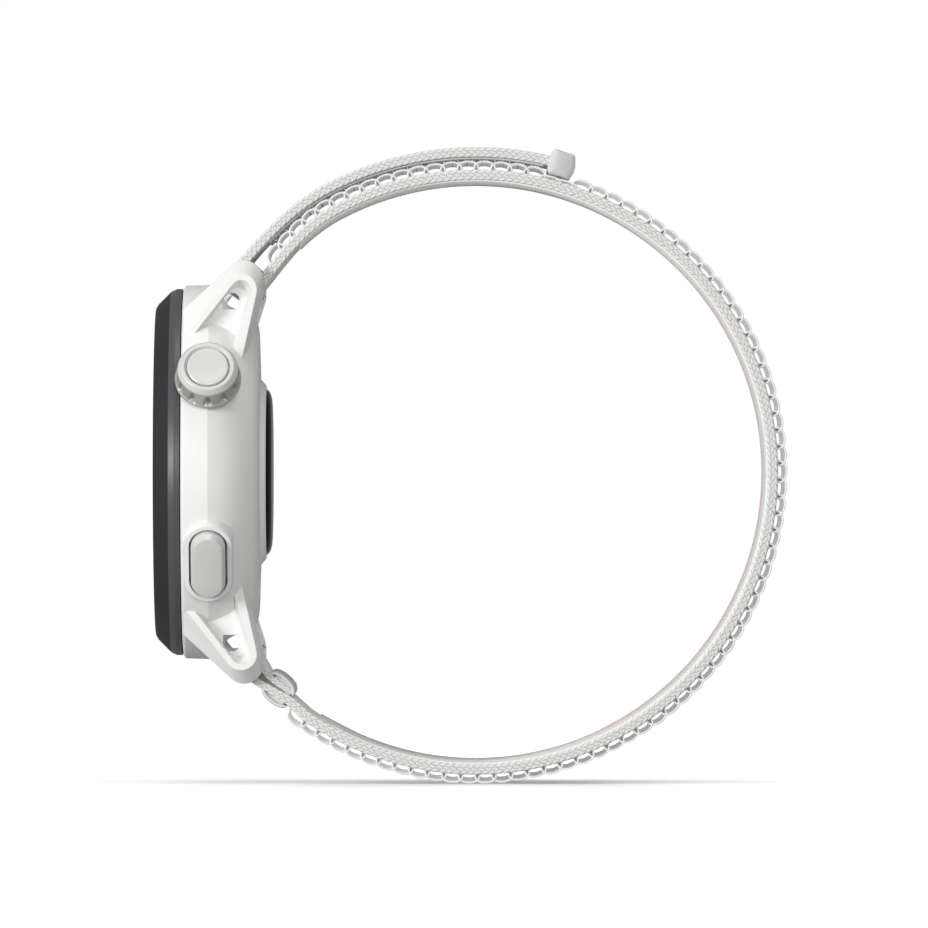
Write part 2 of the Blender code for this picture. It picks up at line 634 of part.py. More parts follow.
def make_band():
    """Braided band with its lining, the loop pile and the keeper ring."""
    band = prism("strap_band", [band_outline()], -STRAP_HALF_WIDTH, STRAP_HALF_WIDTH,
                 BRAID, SIDE)
    for side in (1, -1):
        name = "keeper_slot_%s" % ("n" if side > 0 else "f")
        slot = block(name, (*KEEPER_MIDDLE, side * KEEPER_RAIL_Y), (4.4, 3.4, 0.8),
                     None, SIDE, True)
        slot.rotation_euler = (0, 0, KEEPER_LEAN)
        combine(band, slot)
    for end, side in (("upper", 1), ("lower", -1)):
        angle = math.radians(BAR_ANGLE - 180.0) * side
        middle = (BAR_X + STRAP_SLOT_REACH * math.cos(angle),
                  side * BAR_Z + STRAP_SLOT_REACH * math.sin(angle), LEVER_Y)
        slot = block(end + "_band_slot", middle, (3.0, 0.8, 2.4), None, SIDE, True)
        slot.rotation_euler = (0, 0, angle)
        combine(band, slot)
    inner = BAND_MID_R - BAND_HALF - SKIN_GAP
    turns = angles_between(114.0, -122.0)
    lining = ([polar(inner, a, STRAP_CENTRE) for a in turns]
              + [polar(inner - 0.12, a, STRAP_CENTRE) for a in reversed(turns)])
    prism("strap_lining", [lining], -STRAP_HALF_WIDTH + 0.4, STRAP_HALF_WIDTH - 0.4,
          LINING, SIDE)
    make_loops()
    make_keeper()


def make_loops():
    """Field of soft loops on the band's outside, pressed flat under the end tab."""
    low = BAND_HALF + SKIN_GAP
    turns = (angles_between(LOOP_START, TAB_FROM + 1.0)
             + angles_between(TAB_FROM + 0.8, TAB_TO - 1.2)
             + angles_between(TAB_TO - 1.4, LOOP_STOP))
    inside = [polar(band_radius(a) + low, a, STRAP_CENTRE) for a in turns]
    outside = []
    for angle in turns:
        pressed = TAB_TO - 1.3 < angle < TAB_FROM + 0.9
        height = PRESSED_HEIGHT if pressed else LOOP_HEIGHT
        outside.append(polar(band_radius(angle) + low + height, angle, STRAP_CENTRE))
    half = STRAP_HALF_WIDTH - 0.3
    prism("loop_field", [inside + outside[::-1]], -half, half, LOOPS, SIDE)


def make_keeper():
    """Flat ring round both layers; its side rails pass through slots in the strap."""
    keeper = frame_empty("keeper_axis", (*KEEPER_MIDDLE, 0), (0, -QUARTER, 0), SIDE)
    keeper.rotation_euler.z = KEEPER_LEAN - QUARTER
    outer = rounded([(-9.9, -1.6, 0.4), (9.9, -1.6, 0.4), (9.9, 1.6, 0.4), (-9.9, 1.6, 0.4)], 3)
    inner = [(-9.3, -1.2), (9.3, -1.2), (9.3, 1.2), (-9.3, 1.2)]
    prism("keeper_ring", [outer, inner], -1.6, 1.6, CLIP, keeper)


def relative(points):
    """Strap points measured from the upper bar, where the tail hinges."""
    return [(x - BAR_X, y - BAR_Z) for x, y in points]


def make_tail():
    """Folded-back end of the strap with its hook strip and moulded end tab."""
    path = [polar(WRAP_R, BAR_ANGLE, (BAR_X, BAR_Z))]
    path += [polar(tail_radius(a), a, STRAP_CENTRE) for a in angles_between(138.0, 76.0)]
    path.append(polar(tail_radius(74.4), 74.4, STRAP_CENTRE))
    outline = ribbon(path, [TAIL_HALF] * len(path))
    prism("strap_tail", [relative(outline)], -STRAP_HALF_WIDTH, STRAP_HALF_WIDTH,
          BRAID, TAIL)
    low = TAIL_HALF + 0.04
    turns = angles_between(132.0, 77.6)
    hooks = ([polar(tail_radius(a) - low, a, STRAP_CENTRE) for a in turns]
             + [polar(tail_radius(a) - low - 0.2, a, STRAP_CENTRE) for a in reversed(turns)])
    half = STRAP_HALF_WIDTH - 0.5
    prism("hook_patch", [relative(hooks)], -half, half, HOOKS, TAIL)
    corners = ((37.04, 76.1), (36.93, 72.5), (35.56, 71.8), (34.2, 72.4), (34.2, 76.3),
               (34.69, 76.75), (36.5, 76.65))
    tab_outline = [polar(radius, angle, STRAP_CENTRE) for radius, angle in corners]
    tab = prism("end_tab", [relative(tab_outline)], -11.3, 11.3, CLIP, TAIL)
    grip = [polar(radius, angle, STRAP_CENTRE) for radius, angle in (
        (TAIL_MID_R - 0.62, 78.0), (TAIL_MID_R - 0.62, 74.2),
        (TAIL_MID_R + 0.62, 74.2), (TAIL_MID_R + 0.62, 78.0))]
    combine(tab, prism("tab_slot", [relative(grip)], -10.9, 10.9, None, TAIL, True))


make_case()
make_bezel_group()
make_rear_group()
make_inside()
make_crown()
make_button()
for bar_end in ("upper", "lower"):
    make_spring_bar(bar_end)
make_band()
make_tail()
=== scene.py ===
"""GPS running watch on its closed hook-and-loop strap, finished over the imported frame.

Lengths in this file are millimetres until a mesh is laid down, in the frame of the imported
model: +X points into the wrist, +Z to 12 o'clock and -Y to the crown side.
"""
import math

import bmesh
import bpy
import numpy as np
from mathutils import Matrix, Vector


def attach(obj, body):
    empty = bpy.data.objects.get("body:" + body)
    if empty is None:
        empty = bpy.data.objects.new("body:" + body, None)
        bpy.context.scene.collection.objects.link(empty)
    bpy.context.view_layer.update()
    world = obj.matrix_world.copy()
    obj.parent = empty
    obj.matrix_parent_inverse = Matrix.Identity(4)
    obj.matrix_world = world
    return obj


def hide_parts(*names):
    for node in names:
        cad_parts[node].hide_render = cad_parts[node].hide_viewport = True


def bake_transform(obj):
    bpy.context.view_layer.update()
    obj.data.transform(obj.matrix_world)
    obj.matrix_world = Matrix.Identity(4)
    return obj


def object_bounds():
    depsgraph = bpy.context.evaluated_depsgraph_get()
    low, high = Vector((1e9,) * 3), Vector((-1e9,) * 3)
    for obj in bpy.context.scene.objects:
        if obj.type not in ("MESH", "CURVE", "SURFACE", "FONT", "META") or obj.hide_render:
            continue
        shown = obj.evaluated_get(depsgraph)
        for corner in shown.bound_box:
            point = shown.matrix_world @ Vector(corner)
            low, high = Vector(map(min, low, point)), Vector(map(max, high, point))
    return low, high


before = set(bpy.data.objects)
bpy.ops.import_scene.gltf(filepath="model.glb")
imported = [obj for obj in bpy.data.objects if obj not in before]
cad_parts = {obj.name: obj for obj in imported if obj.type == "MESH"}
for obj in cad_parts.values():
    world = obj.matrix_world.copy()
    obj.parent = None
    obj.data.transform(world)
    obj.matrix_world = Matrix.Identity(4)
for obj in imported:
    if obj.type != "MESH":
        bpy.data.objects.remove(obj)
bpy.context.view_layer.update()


# ------------------------------------------------------------------ white shell
# The body of the watch: one moulded ring of white fibre-filled polymer with four horns. The
# tool gives it a flat front band, a crease round its widest line and a drafted back. The
# bores for the crown, the button and the vent are cut through its wall afterwards.

MM = 0.001


def soft_corners(corners, radii, steps=6):
    """Closed outline with rounded corners. A corner P is cut back along both sides by
    radius / tan(half its angle); between the cuts the spoke from the arc's centre turns
    evenly, spoke(t) = (sin((1-t)w) * first + sin(tw) * last) / sin w."""
    p = np.array(corners, float)
    r = np.maximum(np.broadcast_to(np.array(radii, float), (len(p),)), 1e-4)
    back = np.roll(p, 1, 0) - p
    ahead = np.roll(p, -1, 0) - p
    back /= np.linalg.norm(back, axis=1, keepdims=True)
    ahead /= np.linalg.norm(ahead, axis=1, keepdims=True)
    half = np.arccos(np.clip((back * ahead).sum(1), -1, 1)) / 2
    inward = back + ahead
    inward /= np.maximum(np.linalg.norm(inward, axis=1, keepdims=True), 1e-9)
    centre = p + inward * (r / np.sin(half))[:, None]
    first = (p + back * (r / np.tan(half))[:, None] - centre)[:, None]
    last = (p + ahead * (r / np.tan(half))[:, None] - centre)[:, None]
    w = np.maximum(np.pi - 2 * half, 1e-4)[:, None, None]
    t = np.linspace(0, 1, steps)[None, :, None]
    spokes = (np.sin((1 - t) * w) * first + np.sin(t * w) * last) / np.sin(w)
    return (centre[:, None] + spokes).reshape(-1, 2)


def turned(profile, steps, origin=(0, 0, 0), axis=(-1, 0, 0), side=(0, 1, 0)):
    """Surface of revolution: origin + height * axis + radius * (cos a * side
    + sin a * (axis x side)), one row for each (height, radius) of the profile."""
    axis, side = np.array(axis, float), np.array(side, float)
    turn = np.linspace(0, 2 * np.pi, steps, endpoint=False)[:, None]
    ring = np.cos(turn) * side + np.sin(turn) * np.cross(axis, side)
    profile = np.array(profile, float)
    return (np.array(origin, float) + profile[:, 0, None, None] * axis
            + profile[:, 1, None, None] * ring)


def quads(rows, columns, wrap_rows, wrap_columns):
    """Four corner numbers for each cell of a grid whose point (i, j) is i * columns + j."""
    i = np.arange(rows if wrap_rows else rows - 1)[:, None]
    j = np.arange(columns if wrap_columns else columns - 1)[None, :]
    up, over = (i + 1) % rows, (j + 1) % columns
    cells = [i * columns + j, i * columns + over, up * columns + over, up * columns + j]
    return np.stack(np.broadcast_arrays(*cells), -1).reshape(-1, 4)


def lay_mesh(name, points, cells):
    """Mesh of four-sided cells over points given in millimetres."""
    mesh = bpy.data.meshes.new(name)
    mesh.vertices.add(len(points))
    mesh.vertices.foreach_set("co", (points * MM).astype(np.float32).ravel())
    mesh.loops.add(cells.size)
    mesh.loops.foreach_set("vertex_index", cells.astype(np.int32).ravel())
    mesh.polygons.add(len(cells))
    mesh.polygons.foreach_set("loop_start", np.arange(0, cells.size, 4, dtype=np.int32))
    mesh.update(calc_edges=True)
    return mesh


def close_mesh(mesh):
    """Merges doubles, fills what is open and turns every face outwards."""
    shape = bmesh.new()
    shape.from_mesh(mesh)
    bmesh.ops.remove_doubles(shape, verts=shape.verts, dist=2e-7)
    rim = [edge for edge in shape.edges if edge.is_boundary]
    bmesh.ops.holes_fill(shape, edges=rim, sides=0)
    bmesh.ops.recalc_face_normals(shape, faces=shape.faces)
    shape.to_mesh(mesh)
    shape.free()
    return mesh


def solid(name, grid, wrap_rows=False):
    """Closed mesh over a grid of rows x columns x 3 whose columns meet round the back."""
    cells = quads(*grid.shape[:2], wrap_rows, True)
    return close_mesh(lay_mesh(name, grid.reshape(-1, 3), cells))


def with_y(flat, y):
    """Points (x, z) with a y put between."""
    return np.stack([flat[..., 0], np.broadcast_to(y, flat.shape[:-1]), flat[..., 1]], -1)


def lofted(name, sections):
    """Closed mesh through (y, outline) sections, each outline in X and Z."""
    return solid(name, np.stack([with_y(outline, y) for y, outline in sections]))


def stand(name, data):
    """New object at the origin, linked to the scene."""
    made = bpy.data.objects.new(name, data)
    bpy.context.scene.collection.objects.link(made)
    return made


def carve(mesh, joined=(), cut=()):
    """Joins some meshes to a mesh, then cuts others out of it."""
    work = stand("work", mesh)
    tools = [stand("tool", tool) for tool in (*joined, *cut)]
    for k, tool in enumerate(tools):
        step = work.modifiers.new("step", "BOOLEAN")
        step.operation = "UNION" if k < len(joined) else "DIFFERENCE"
        step.solver = "EXACT"
        step.object = tool
    bpy.context.view_layer.update()
    ready = work.evaluated_get(bpy.context.evaluated_depsgraph_get())
    made = bpy.data.meshes.new_from_object(ready)
    for spent in [work, *tools]:
        bpy.data.objects.remove(spent)
    return made


def place(name, mesh, finish, body, crease=30.0):
    """Smooth piece with its edges kept sharp above the crease angle, on a CAD body."""
    mesh.name = name
    mesh.materials.clear()
    mesh.materials.append(finish)
    mesh.shade_smooth()
    mesh.set_sharp_from_angle(angle=math.radians(crease))
    piece = stand(name, mesh)
    if body:
        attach(piece, body)
    return piece


def join(tree, *links):
    """Links shader nodes, each link as (source, its output, target, its input)."""
    for source, socket, target, entry in links:
        tree.links.new(source.outputs[socket], target.inputs[entry])


def fill_in(node, settings):
    """Sets a shader node's inputs from {input: value}."""
    for entry, value in settings.items():
        node.inputs[entry].default_value = value


def add_node(tree, kind, settings=None):
    """New shader node of a kind, with its inputs filled in."""
    made = tree.nodes.new("ShaderNode" + kind)
    fill_in(made, settings or {})
    return made


def surface(name, settings):
    """New material whose surface shader is filled in."""
    made = bpy.data.materials.new(name)
    made.use_nodes = True
    fill_in(made.node_tree.nodes["Principled BSDF"], settings)
    return made


def moulded(name, colour, roughness, grain=0.05, depth=0.004, edge=0.12, spread=0.06,
            metallic=0.0, specular=0.5):
    """Finish for a moulded, cast or turned part: grain sized in millimetres raises the
    surface by depth, roughness wanders by spread, and edges read as rounded by edge."""
    made = surface(name, {"Base Color": (*colour, 1), "Metallic": metallic,
                          "Specular IOR Level": specular})
    tree = made.node_tree
    shader = tree.nodes["Principled BSDF"]
    where = add_node(tree, "TexCoord")
    fine = add_node(tree, "TexNoise", {"Scale": 1 / (grain * MM), "Detail": 3})
    broad = add_node(tree, "TexNoise", {"Scale": 180, "Detail": 4})
    wander = add_node(tree, "MapRange", {"To Min": roughness - spread,
                                         "To Max": roughness + spread})
    raised = add_node(tree, "Bump", {"Distance": depth * MM, "Strength": 0.6})
    join(tree, (where, "Object", fine, "Vector"), (where, "Object", broad, "Vector"),
         (broad, "Fac", wander, "Value"), (wander, "Result", shader, "Roughness"),
         (fine, "Fac", raised, "Height"), (raised, "Normal", shader, "Normal"))
    if edge:
        round_over = add_node(tree, "Bevel", {"Radius": edge * MM})
        round_over.samples = 4
        join(tree, (round_over, "Normal", raised, "Normal"))
    return made


def glow(finish, colour, strength):
    """Lets a finish give off a little light of its own."""
    fill_in(finish.node_tree.nodes["Principled BSDF"],
            {"Emission Color": (*colour, 1), "Emission Strength": strength})


def flip(outline, side_z):
    """Outline in X and Z with every z times side_z, which is 1 or -1."""
    return outline * np.array([1.0, side_z])


def stadium(width, length, steps=24):
    """Outline of two half circles joined by straight sides: (across, along)."""
    turn = np.linspace(0, np.pi, steps)
    radius, run = width / 2, (length - width) / 2
    top = np.stack([radius * np.cos(turn), radius * np.sin(turn) + run], -1)
    return np.concatenate([top, -top])


def pillar(outline, heights, origin, axis=(-1, 0, 0), side=(0, 1, 0)):
    """Closed mesh of outlines set square to an axis: origin + height * axis + a * side
    + b * (axis x side) for each outline point (a, b). One outline may serve all."""
    axis, side = np.array(axis, float), np.array(side, float)
    outlines = outline if isinstance(outline, list) else [outline] * len(heights)
    grid = np.stack([np.array(origin, float) + h * axis + o[:, :1] * side
                     + o[:, 1:] * np.cross(axis, side) for h, o in zip(heights, outlines)])
    return solid("pillar", grid)


TILT = math.radians(28.5)  # of the crown's and the button's axes, up and down
HUB = (-6.9, 0.0, 0.0)  # where these two axes meet
CROWN_OUT = (0.0, -math.cos(TILT), math.sin(TILT))
BUTTON_OUT = (0.0, -math.cos(TILT), -math.sin(TILT))
ACROSS = (1.0, 0.0, 0.0)
ROUND = 256  # points round a large ring
CENTRE = np.array([22.7, 0.0])  # of the ring that the strap makes, in X and Z
UPPER = np.array([-3.0, 21.2])  # the bars' axes, in X and Z
LOWER = np.array([-3.0, -21.2])


def around(radius, degrees, centre=CENTRE):
    """Points centre + radius * (cos, sin) in the plane of X and Z."""
    a = np.radians(degrees)
    return np.stack([centre[0] + radius * np.cos(a), centre[1] + radius * np.sin(a)], -1)


wall = soft_corners(
    [(9.95, 19.0), (9.95, 20.5), (9.72, 20.86), (6.95, 20.95), (5.5, 20.45), (4.3, 19.8),
     (3.3, 19.0), (2.6, 18.2), (2.1, 17.5), (1.75, 16.8), (1.52, 16.1), (2.75, 16.1),
     (2.75, 15.8), (3.1, 15.8), (3.1, 15.2), (3.6, 15.2), (3.6, 17.0), (9.1, 17.0),
     (9.1, 18.5), (9.3, 18.5), (9.3, 19.0)],
    [0.05, 0.12, 0.2, 0.12, 8.0, 7.0, 6.0, 8.0, 5.0, 4.8, 0.1] + 10 * [0], 5)
shell = solid("shell", turned(wall, ROUND), wrap_rows=True)

horn_foot = soft_corners(
    [(-9.85, 15.8), (-9.85, 17.97), (-0.95, 26.18), (-0.9, 19.5), (-2.25, 15.2),
     (-2.6, 13.45), (-6.0, 13.45)], [0, 0.1, 2.1, 2.5, 1.5, 0, 0], 9)
horn_rim = soft_corners(
    [(-9.7, 13.6), (-9.7, 15.0), (0.09, 27.43), (-1.68, 19.5), (-2.64, 15.2),
     (-3.3, 12.2), (-6.0, 12.2)], [0, 0.1, 1.77, 2.5, 1.5, 0, 0], 9)
scoop_rim = soft_corners([(-9.64, 13.9), (-0.35, 25.79), (-4.91, 11.2), (-9.64, 11.2)],
                         [0.2, 1.14, 0.2, 0.2], 9)
scoop_floor = soft_corners([(-9.2, 13.9), (-0.85, 24.9), (-5.25, 11.6), (-9.2, 11.6)],
                           [0.2, 1.0, 0.2, 0.2], 9)
window = soft_corners([(-5.35, 18.1), (-5.35, 19.9), (-3.5, 19.9), (-3.6, 18.1)],
                      [0.2, 0.9, 0.8, 0.3], 6)
bar_hole = soft_corners([(-3.5, 20.7), (-3.5, 21.7), (-2.5, 21.7), (-2.5, 20.7)], 0.48, 6)
pocket = np.concatenate([[(-6.2, 27.0)], around(3.2, np.linspace(180, 360, 32), UPPER),
                         [(0.2, 27.0)]])
HORN_ROOT, HORN_DRAFT, HORN_FACE = 11.0, 12.0, 14.1  # stations along Y
SCOOP_TOP = 14.6  # clear of the horn's face
POCKET_HALF = 10.95
scoop_y = 12.5 - 0.14 * (scoop_floor[:, 0] + 5)  # the floor rises to the dial

horns = []
for side_y, side_z in ((-1, 1), (-1, -1), (1, 1), (1, -1)):
    horn, *hollows = [
        lofted("horn", [(side_y * y, flip(outline, side_z)) for y, outline in sections])
        for sections in (
            [(HORN_ROOT, horn_foot), (HORN_DRAFT, horn_foot), (HORN_FACE, horn_rim)],
            [(scoop_y, scoop_floor), (HORN_FACE, scoop_rim), (SCOOP_TOP, scoop_rim)],
            [(10.5, window), (13.0, window)], [(10.5, bar_hole), (12.0, bar_hole)])]
    horns.append(carve(horn, cut=hollows))
boss = pillar([stadium(5.7, 9.9), stadium(5.4, 9.6), stadium(5.25, 9.45)],
              [18.6, 21.1, 21.3], HUB, BUTTON_OUT, ACROSS)
circle_turn = np.linspace(0, 2 * np.pi, 48, endpoint=False)
circle = np.stack([np.cos(circle_turn), np.sin(circle_turn)], -1)
bores = [lofted("pocket", [(y, flip(pocket, side_z)) for y in (-POCKET_HALF, POCKET_HALF)])
         for side_z in (1, -1)]
bores += [pillar(1.65 * circle, [15.5, 22.5], HUB, CROWN_OUT, ACROSS),
          pillar(stadium(4.26, 8.5), [19.2, 23.0], HUB, BUTTON_OUT, ACROSS),
          pillar(0.8 * circle, [15.5, 20.0], HUB, BUTTON_OUT, ACROSS)]
bores += [pillar(0.3 * circle[::3], [15.5, 22.5], (HUB[0], 0, vent), (0, 1, 0), ACROSS)
          for vent in (-1.2, 0.0, 1.2)]

shell_white = moulded("shell_white", (0.80, 0.80, 0.79), 0.42, 0.04, 0.003, 0.16,
                      specular=0.3)
case_shell = place("case_shell", carve(shell, [*horns, boss], bores), shell_white, "case",
                   24.0)
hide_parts("case_body")


# ------------------------------------------------------------------ bezel
# A black ring of fibre-filled polymer pressed over the front gasket. Its sloping face has
# the tool's fine spark texture, and the narrow skirt beside the shell is left smoother.

bezel_line = soft_corners(
    [(13.05, 16.5), (13.05, 18.3), (12.75, 18.8), (11.35, 20.2), (10.7, 20.5),
     (10.05, 20.5), (10.05, 18.4), (9.2, 18.4), (9.2, 17.6), (11.0, 17.6), (11.0, 15.6),
     (11.6, 15.6), (11.6, 16.5)],
    [0.12, 0.3, 0.4, 0.25, 0.2, 0.08] + 7 * [0], 7)
bezel_black = moulded("bezel_black", (0.024, 0.024, 0.026), 0.55, 0.09, 0.016, 0,
                      specular=0.22)
skirt_black = moulded("skirt_black", (0.075, 0.075, 0.08), 0.36, 0.05, 0.002, 0,
                      specular=0.3)
bezel = place("bezel_ring", solid("bezel", turned(bezel_line, ROUND), wrap_rows=True),
              bezel_black, "case", 40.0)
SKIRT_FRONT, SKIRT_R = 11.35, 20.0  # the skirt lies behind and outside these


def second_finish(piece, finish, chosen):
    """A second finish on the faces whose middles, in millimetres, are chosen."""
    middles = np.zeros(len(piece.data.polygons) * 3, np.float32)
    piece.data.polygons.foreach_get("center", middles)
    picked = chosen(middles.reshape(-1, 3) / MM)
    piece.data.materials.append(finish)
    piece.data.polygons.foreach_set("material_index", picked.astype(np.int32))


second_finish(bezel, skirt_black, lambda p: (p[:, 0] > -SKIRT_FRONT)
              & (np.hypot(p[:, 1], p[:, 2]) > SKIRT_R))
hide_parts("bezel")


# ------------------------------------------------------------------ display
# A flat cover glass over a reflective panel. The panel shows the hours and minutes, a
# small row for the seconds and sixty minute marks, all in pale ink on black.

glass_line = [(12.95, 0.0), (12.95, 15.9), (12.9, 16.15), (12.75, 16.35), (12.6, 16.4),
              (11.7, 16.4), (11.7, 0.0)]
cover_clear = surface("cover_clear", {"Base Color": (0.93, 0.95, 0.95, 1), "IOR": 1.5,
                                      "Roughness": 0.03, "Transmission Weight": 1.0})
cover = place("cover_glass", solid("cover", turned(glass_line, ROUND)), cover_clear,
              "case")
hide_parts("display_glass")

panel_line = [(11.6, 0.0), (11.6, 15.3), (11.5, 15.4), (10.4, 15.4), (10.4, 0.0)]
panel_black = moulded("panel_black", (0.012, 0.013, 0.014), 0.25, 0.05, 0.001, 0)
panel = place("display_layer", solid("panel", turned(panel_line, 128)), panel_black,
              "case")
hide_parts("display_panel")


def bars(centres, sizes, turns, low, high):
    """Boxes lying on the panel. Box k spans sizes[k] about centres[k], turned by turns[k]
    in the dial's plane, from height low to height high above the wrist face."""
    corner = np.array([(-1, -1), (1, -1), (1, 1), (-1, 1)]) / 2
    flat = corner[None] * np.array(sizes, float)[:, None]
    turns = np.broadcast_to(turns, (len(flat),))
    c, s = np.cos(turns)[:, None], np.sin(turns)[:, None]
    across = c * flat[..., 0] - s * flat[..., 1] + np.array(centres)[:, :1]
    along = s * flat[..., 0] + c * flat[..., 1] + np.array(centres)[:, 1:]
    layers = [np.stack([np.full_like(across, -h), across, along], -1) for h in (low, high)]
    points = np.concatenate(layers, 1)
    box = np.array([(0, 1, 2, 3), (4, 7, 6, 5), (0, 4, 5, 1), (1, 5, 6, 2), (2, 6, 7, 3),
                    (3, 7, 4, 0)])
    cells = (np.arange(len(points))[:, None, None] * 8 + box).reshape(-1, 4)
    return close_mesh(lay_mesh("bars", points.reshape(-1, 3), cells))


STROKES = {"a": (0, 1, 1), "b": (0.5, 0.5, 0), "c": (0.5, -0.5, 0), "d": (0, -1, 1),
           "e": (-0.5, -0.5, 0), "f": (-0.5, 0.5, 0), "g": (0, 0, 1)}
DIGITS = {"0": "abcdef", "1": "bc", "9": "abcdfg", "3": "abcdg", "6": "acdefg"}
centres, sizes = [], []
for text, base, width, height in (("10", 4.6, 4.2, 3.6), ("09", -4.6, 4.2, 3.6),
                                  ("36", -11.2, 1.6, 1.25)):
    for k, digit in enumerate(text):
        middle = (0.5 - k) * width * 1.55
        for stroke in DIGITS[digit]:
            a, b, level = STROKES[stroke]
            centres.append((middle - a * width, base + b * height))
            thick = height * 0.24
            sizes.append((width * 0.86, thick) if level else (thick, height * 0.94))
MARK_R = 15.0  # outer ends of the minute marks
minutes = np.radians(np.arange(60) * 6.0)
longer = np.where(np.arange(60) % 5 == 0, 1.3, 0.6)
reach = MARK_R - longer / 2
centres = np.concatenate([centres, np.stack([reach * np.sin(minutes),
                                             reach * np.cos(minutes)], -1)])
sizes = np.concatenate([sizes, np.stack([np.where(longer > 1, 0.36, 0.18), longer], -1)])
turns = np.concatenate([np.zeros(len(sizes) - 60), -minutes])
pale_ink_painted_glow = moulded("pale_ink_painted_glow", (0.78, 0.80, 0.76), 0.5, 0.05, 0.001, 0)
# painted light: the pale marks glow, though the reflective panel under them gives no light
# of its own
glow(pale_ink_painted_glow, (0.8, 0.85, 0.8), 0.35)
place("display_marks", bars(centres, sizes, turns, 11.59, 11.63), pale_ink_painted_glow, "case")


# ------------------------------------------------------------------ back of the case
# A moulded cover with four countersunk screws, a clip-in charging socket with four sprung
# contacts, and a raised ring that carries the sensor window. The window is a black filter
# moulding, polished, with two round lenses over the green lights.

cover_line = soft_corners(
    [(3.3, 8.3), (3.3, 15.1), (2.65, 15.1), (2.65, 16.0), (1.62, 16.0), (1.5, 15.8),
     (1.42, 13.5), (1.35, 10.45), (0.72, 9.72), (0.67, 9.35), (1.9, 9.35), (1.9, 8.3)],
    [0, 0, 0, 0, 0.1, 0.3, 3.0, 0.35, 0.15, 0.05, 0, 0], 6)
SCREW_CIRCLE = 13.9
cover_bores = []
for quarter in np.radians((45, 135, 225, 315)):
    spot = (0, SCREW_CIRCLE * math.sin(quarter), SCREW_CIRCLE * math.cos(quarter))
    cover_bores += [pillar(0.95 * circle, [0.0, 2.2], spot),
                    pillar(0.5 * circle[::2], [0.0, 5.3], spot)]
socket = soft_corners([(-4.55, -1.55), (4.55, -1.55), (4.55, 1.55), (-4.55, 1.55)], 0.5)
cover_bores.append(pillar(socket, [0.0, 4.0], (0, 0, -12.5)))
back = carve(solid("back", turned(cover_line, 192), wrap_rows=True), cut=cover_bores)
back_cover = place("back_cover", back, shell_white, "case", 24.0)
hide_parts("rear_cover")

filter_line = np.array([(1.85, 0.0), (1.85, 9.25), (0.67, 9.25), (0.48, 9.15), (0.3, 8.9),
                        (0.16, 8.55), (0.08, 8.2), (0.02, 7.6), (0.0, 7.0), (0.0, 0.0)])
filter_black = moulded("filter_black", (0.010, 0.010, 0.011), 0.12, 0.2, 0.0004, 0, 0.02,
                       specular=0.05)
sensor = place("sensor_filter", solid("filter", turned(filter_line, 192)), filter_black,
               "case", 50.0)
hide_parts("sensor_window")

for finish, slot, members in (
        (moulded("seal_black", (0.03, 0.03, 0.03), 0.75, 0.05, 0.003, 0), "seal_rubber",
         "front_gasket rear_gasket crown_oring button_oring vent_membrane"),
        (moulded("gold_plate", (0.83, 0.62, 0.28), 0.22, 0.03, 0.001, 0, 0.05, 1.0),
         "antenna_gold",
         "gps_antenna charge_pin_1 charge_pin_2 charge_pin_3 charge_pin_4"),
        (moulded("block_black", (0.05, 0.05, 0.055), 0.5, 0.05, 0.004, 0.08),
         "chassis_plastic",
         "inner_chassis contact_block crown_plunger crown_encoder photodiode_left "
         "photodiode_right"),
        (moulded("turned_steel", (0.62, 0.62, 0.61), 0.26, 0.02, 0.001, 0.04, 0.05, 1.0),
         "steel",
         "processor_shield barometer_sensor vibration_motor crown_stem crown_clip "
         "crown_tube crown_switch button_stem button_clip button_switch cover_screw_1 "
         "cover_screw_2 cover_screw_3 cover_screw_4 upper_bar_tube upper_fixed_tip "
         "upper_release_pin upper_bar_spring lower_bar_tube lower_fixed_tip "
         "lower_release_pin lower_bar_spring"),
        (moulded("board_green", (0.02, 0.16, 0.08), 0.4, 0.3, 0.004, 0), "circuit_board",
         "main_board sensor_board"),
        (moulded("foil_grey", (0.55, 0.56, 0.60), 0.35, 0.4, 0.01, 0.1, 0.08, 0.7),
         "battery_foil", "battery"),
        (moulded("light_green", (0.05, 0.55, 0.15), 0.2, 0.1, 0.001, 0), "led_green",
         "green_led_upper green_led_lower")):
    for member in members.split():
        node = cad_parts[member]
        node.data.materials.clear()
        node.data.materials.append(finish)


# ------------------------------------------------------------------ crown
# A turned and fluted knob in light silver coat. Twelve flutes are milled from its base
# towards the rim, each narrower at the top; a flat disc is bonded into its face.

FLUTE_FOOT, FLUTE_RISE, FLUTE_SPREAD = 21.95, 1.55, 7.4  # heights, half width in degrees
SIDE_TOP = 23.85  # the knob is darker below this height
knob_line = soft_corners(
    [(21.5, 0.9), (21.5, 3.67), (21.8, 3.67), (21.95, 3.52), (23.95, 3.34), (24.5, 2.9),
     (24.5, 2.6), (24.12, 2.36), (23.95, 2.36), (23.95, 0.9)],
    [0, 0.06, 0.06, 0.05, 0.35, 0.12, 0.08, 0.05, 0, 0], 6)
# the flutes need more rows between the fourth and the fifth corner
between = np.linspace(0, 1, 24)[1:-1, None]
knob_line = np.concatenate([knob_line[:24], knob_line[23] + between * (
    knob_line[24] - knob_line[23]), knob_line[24:]])
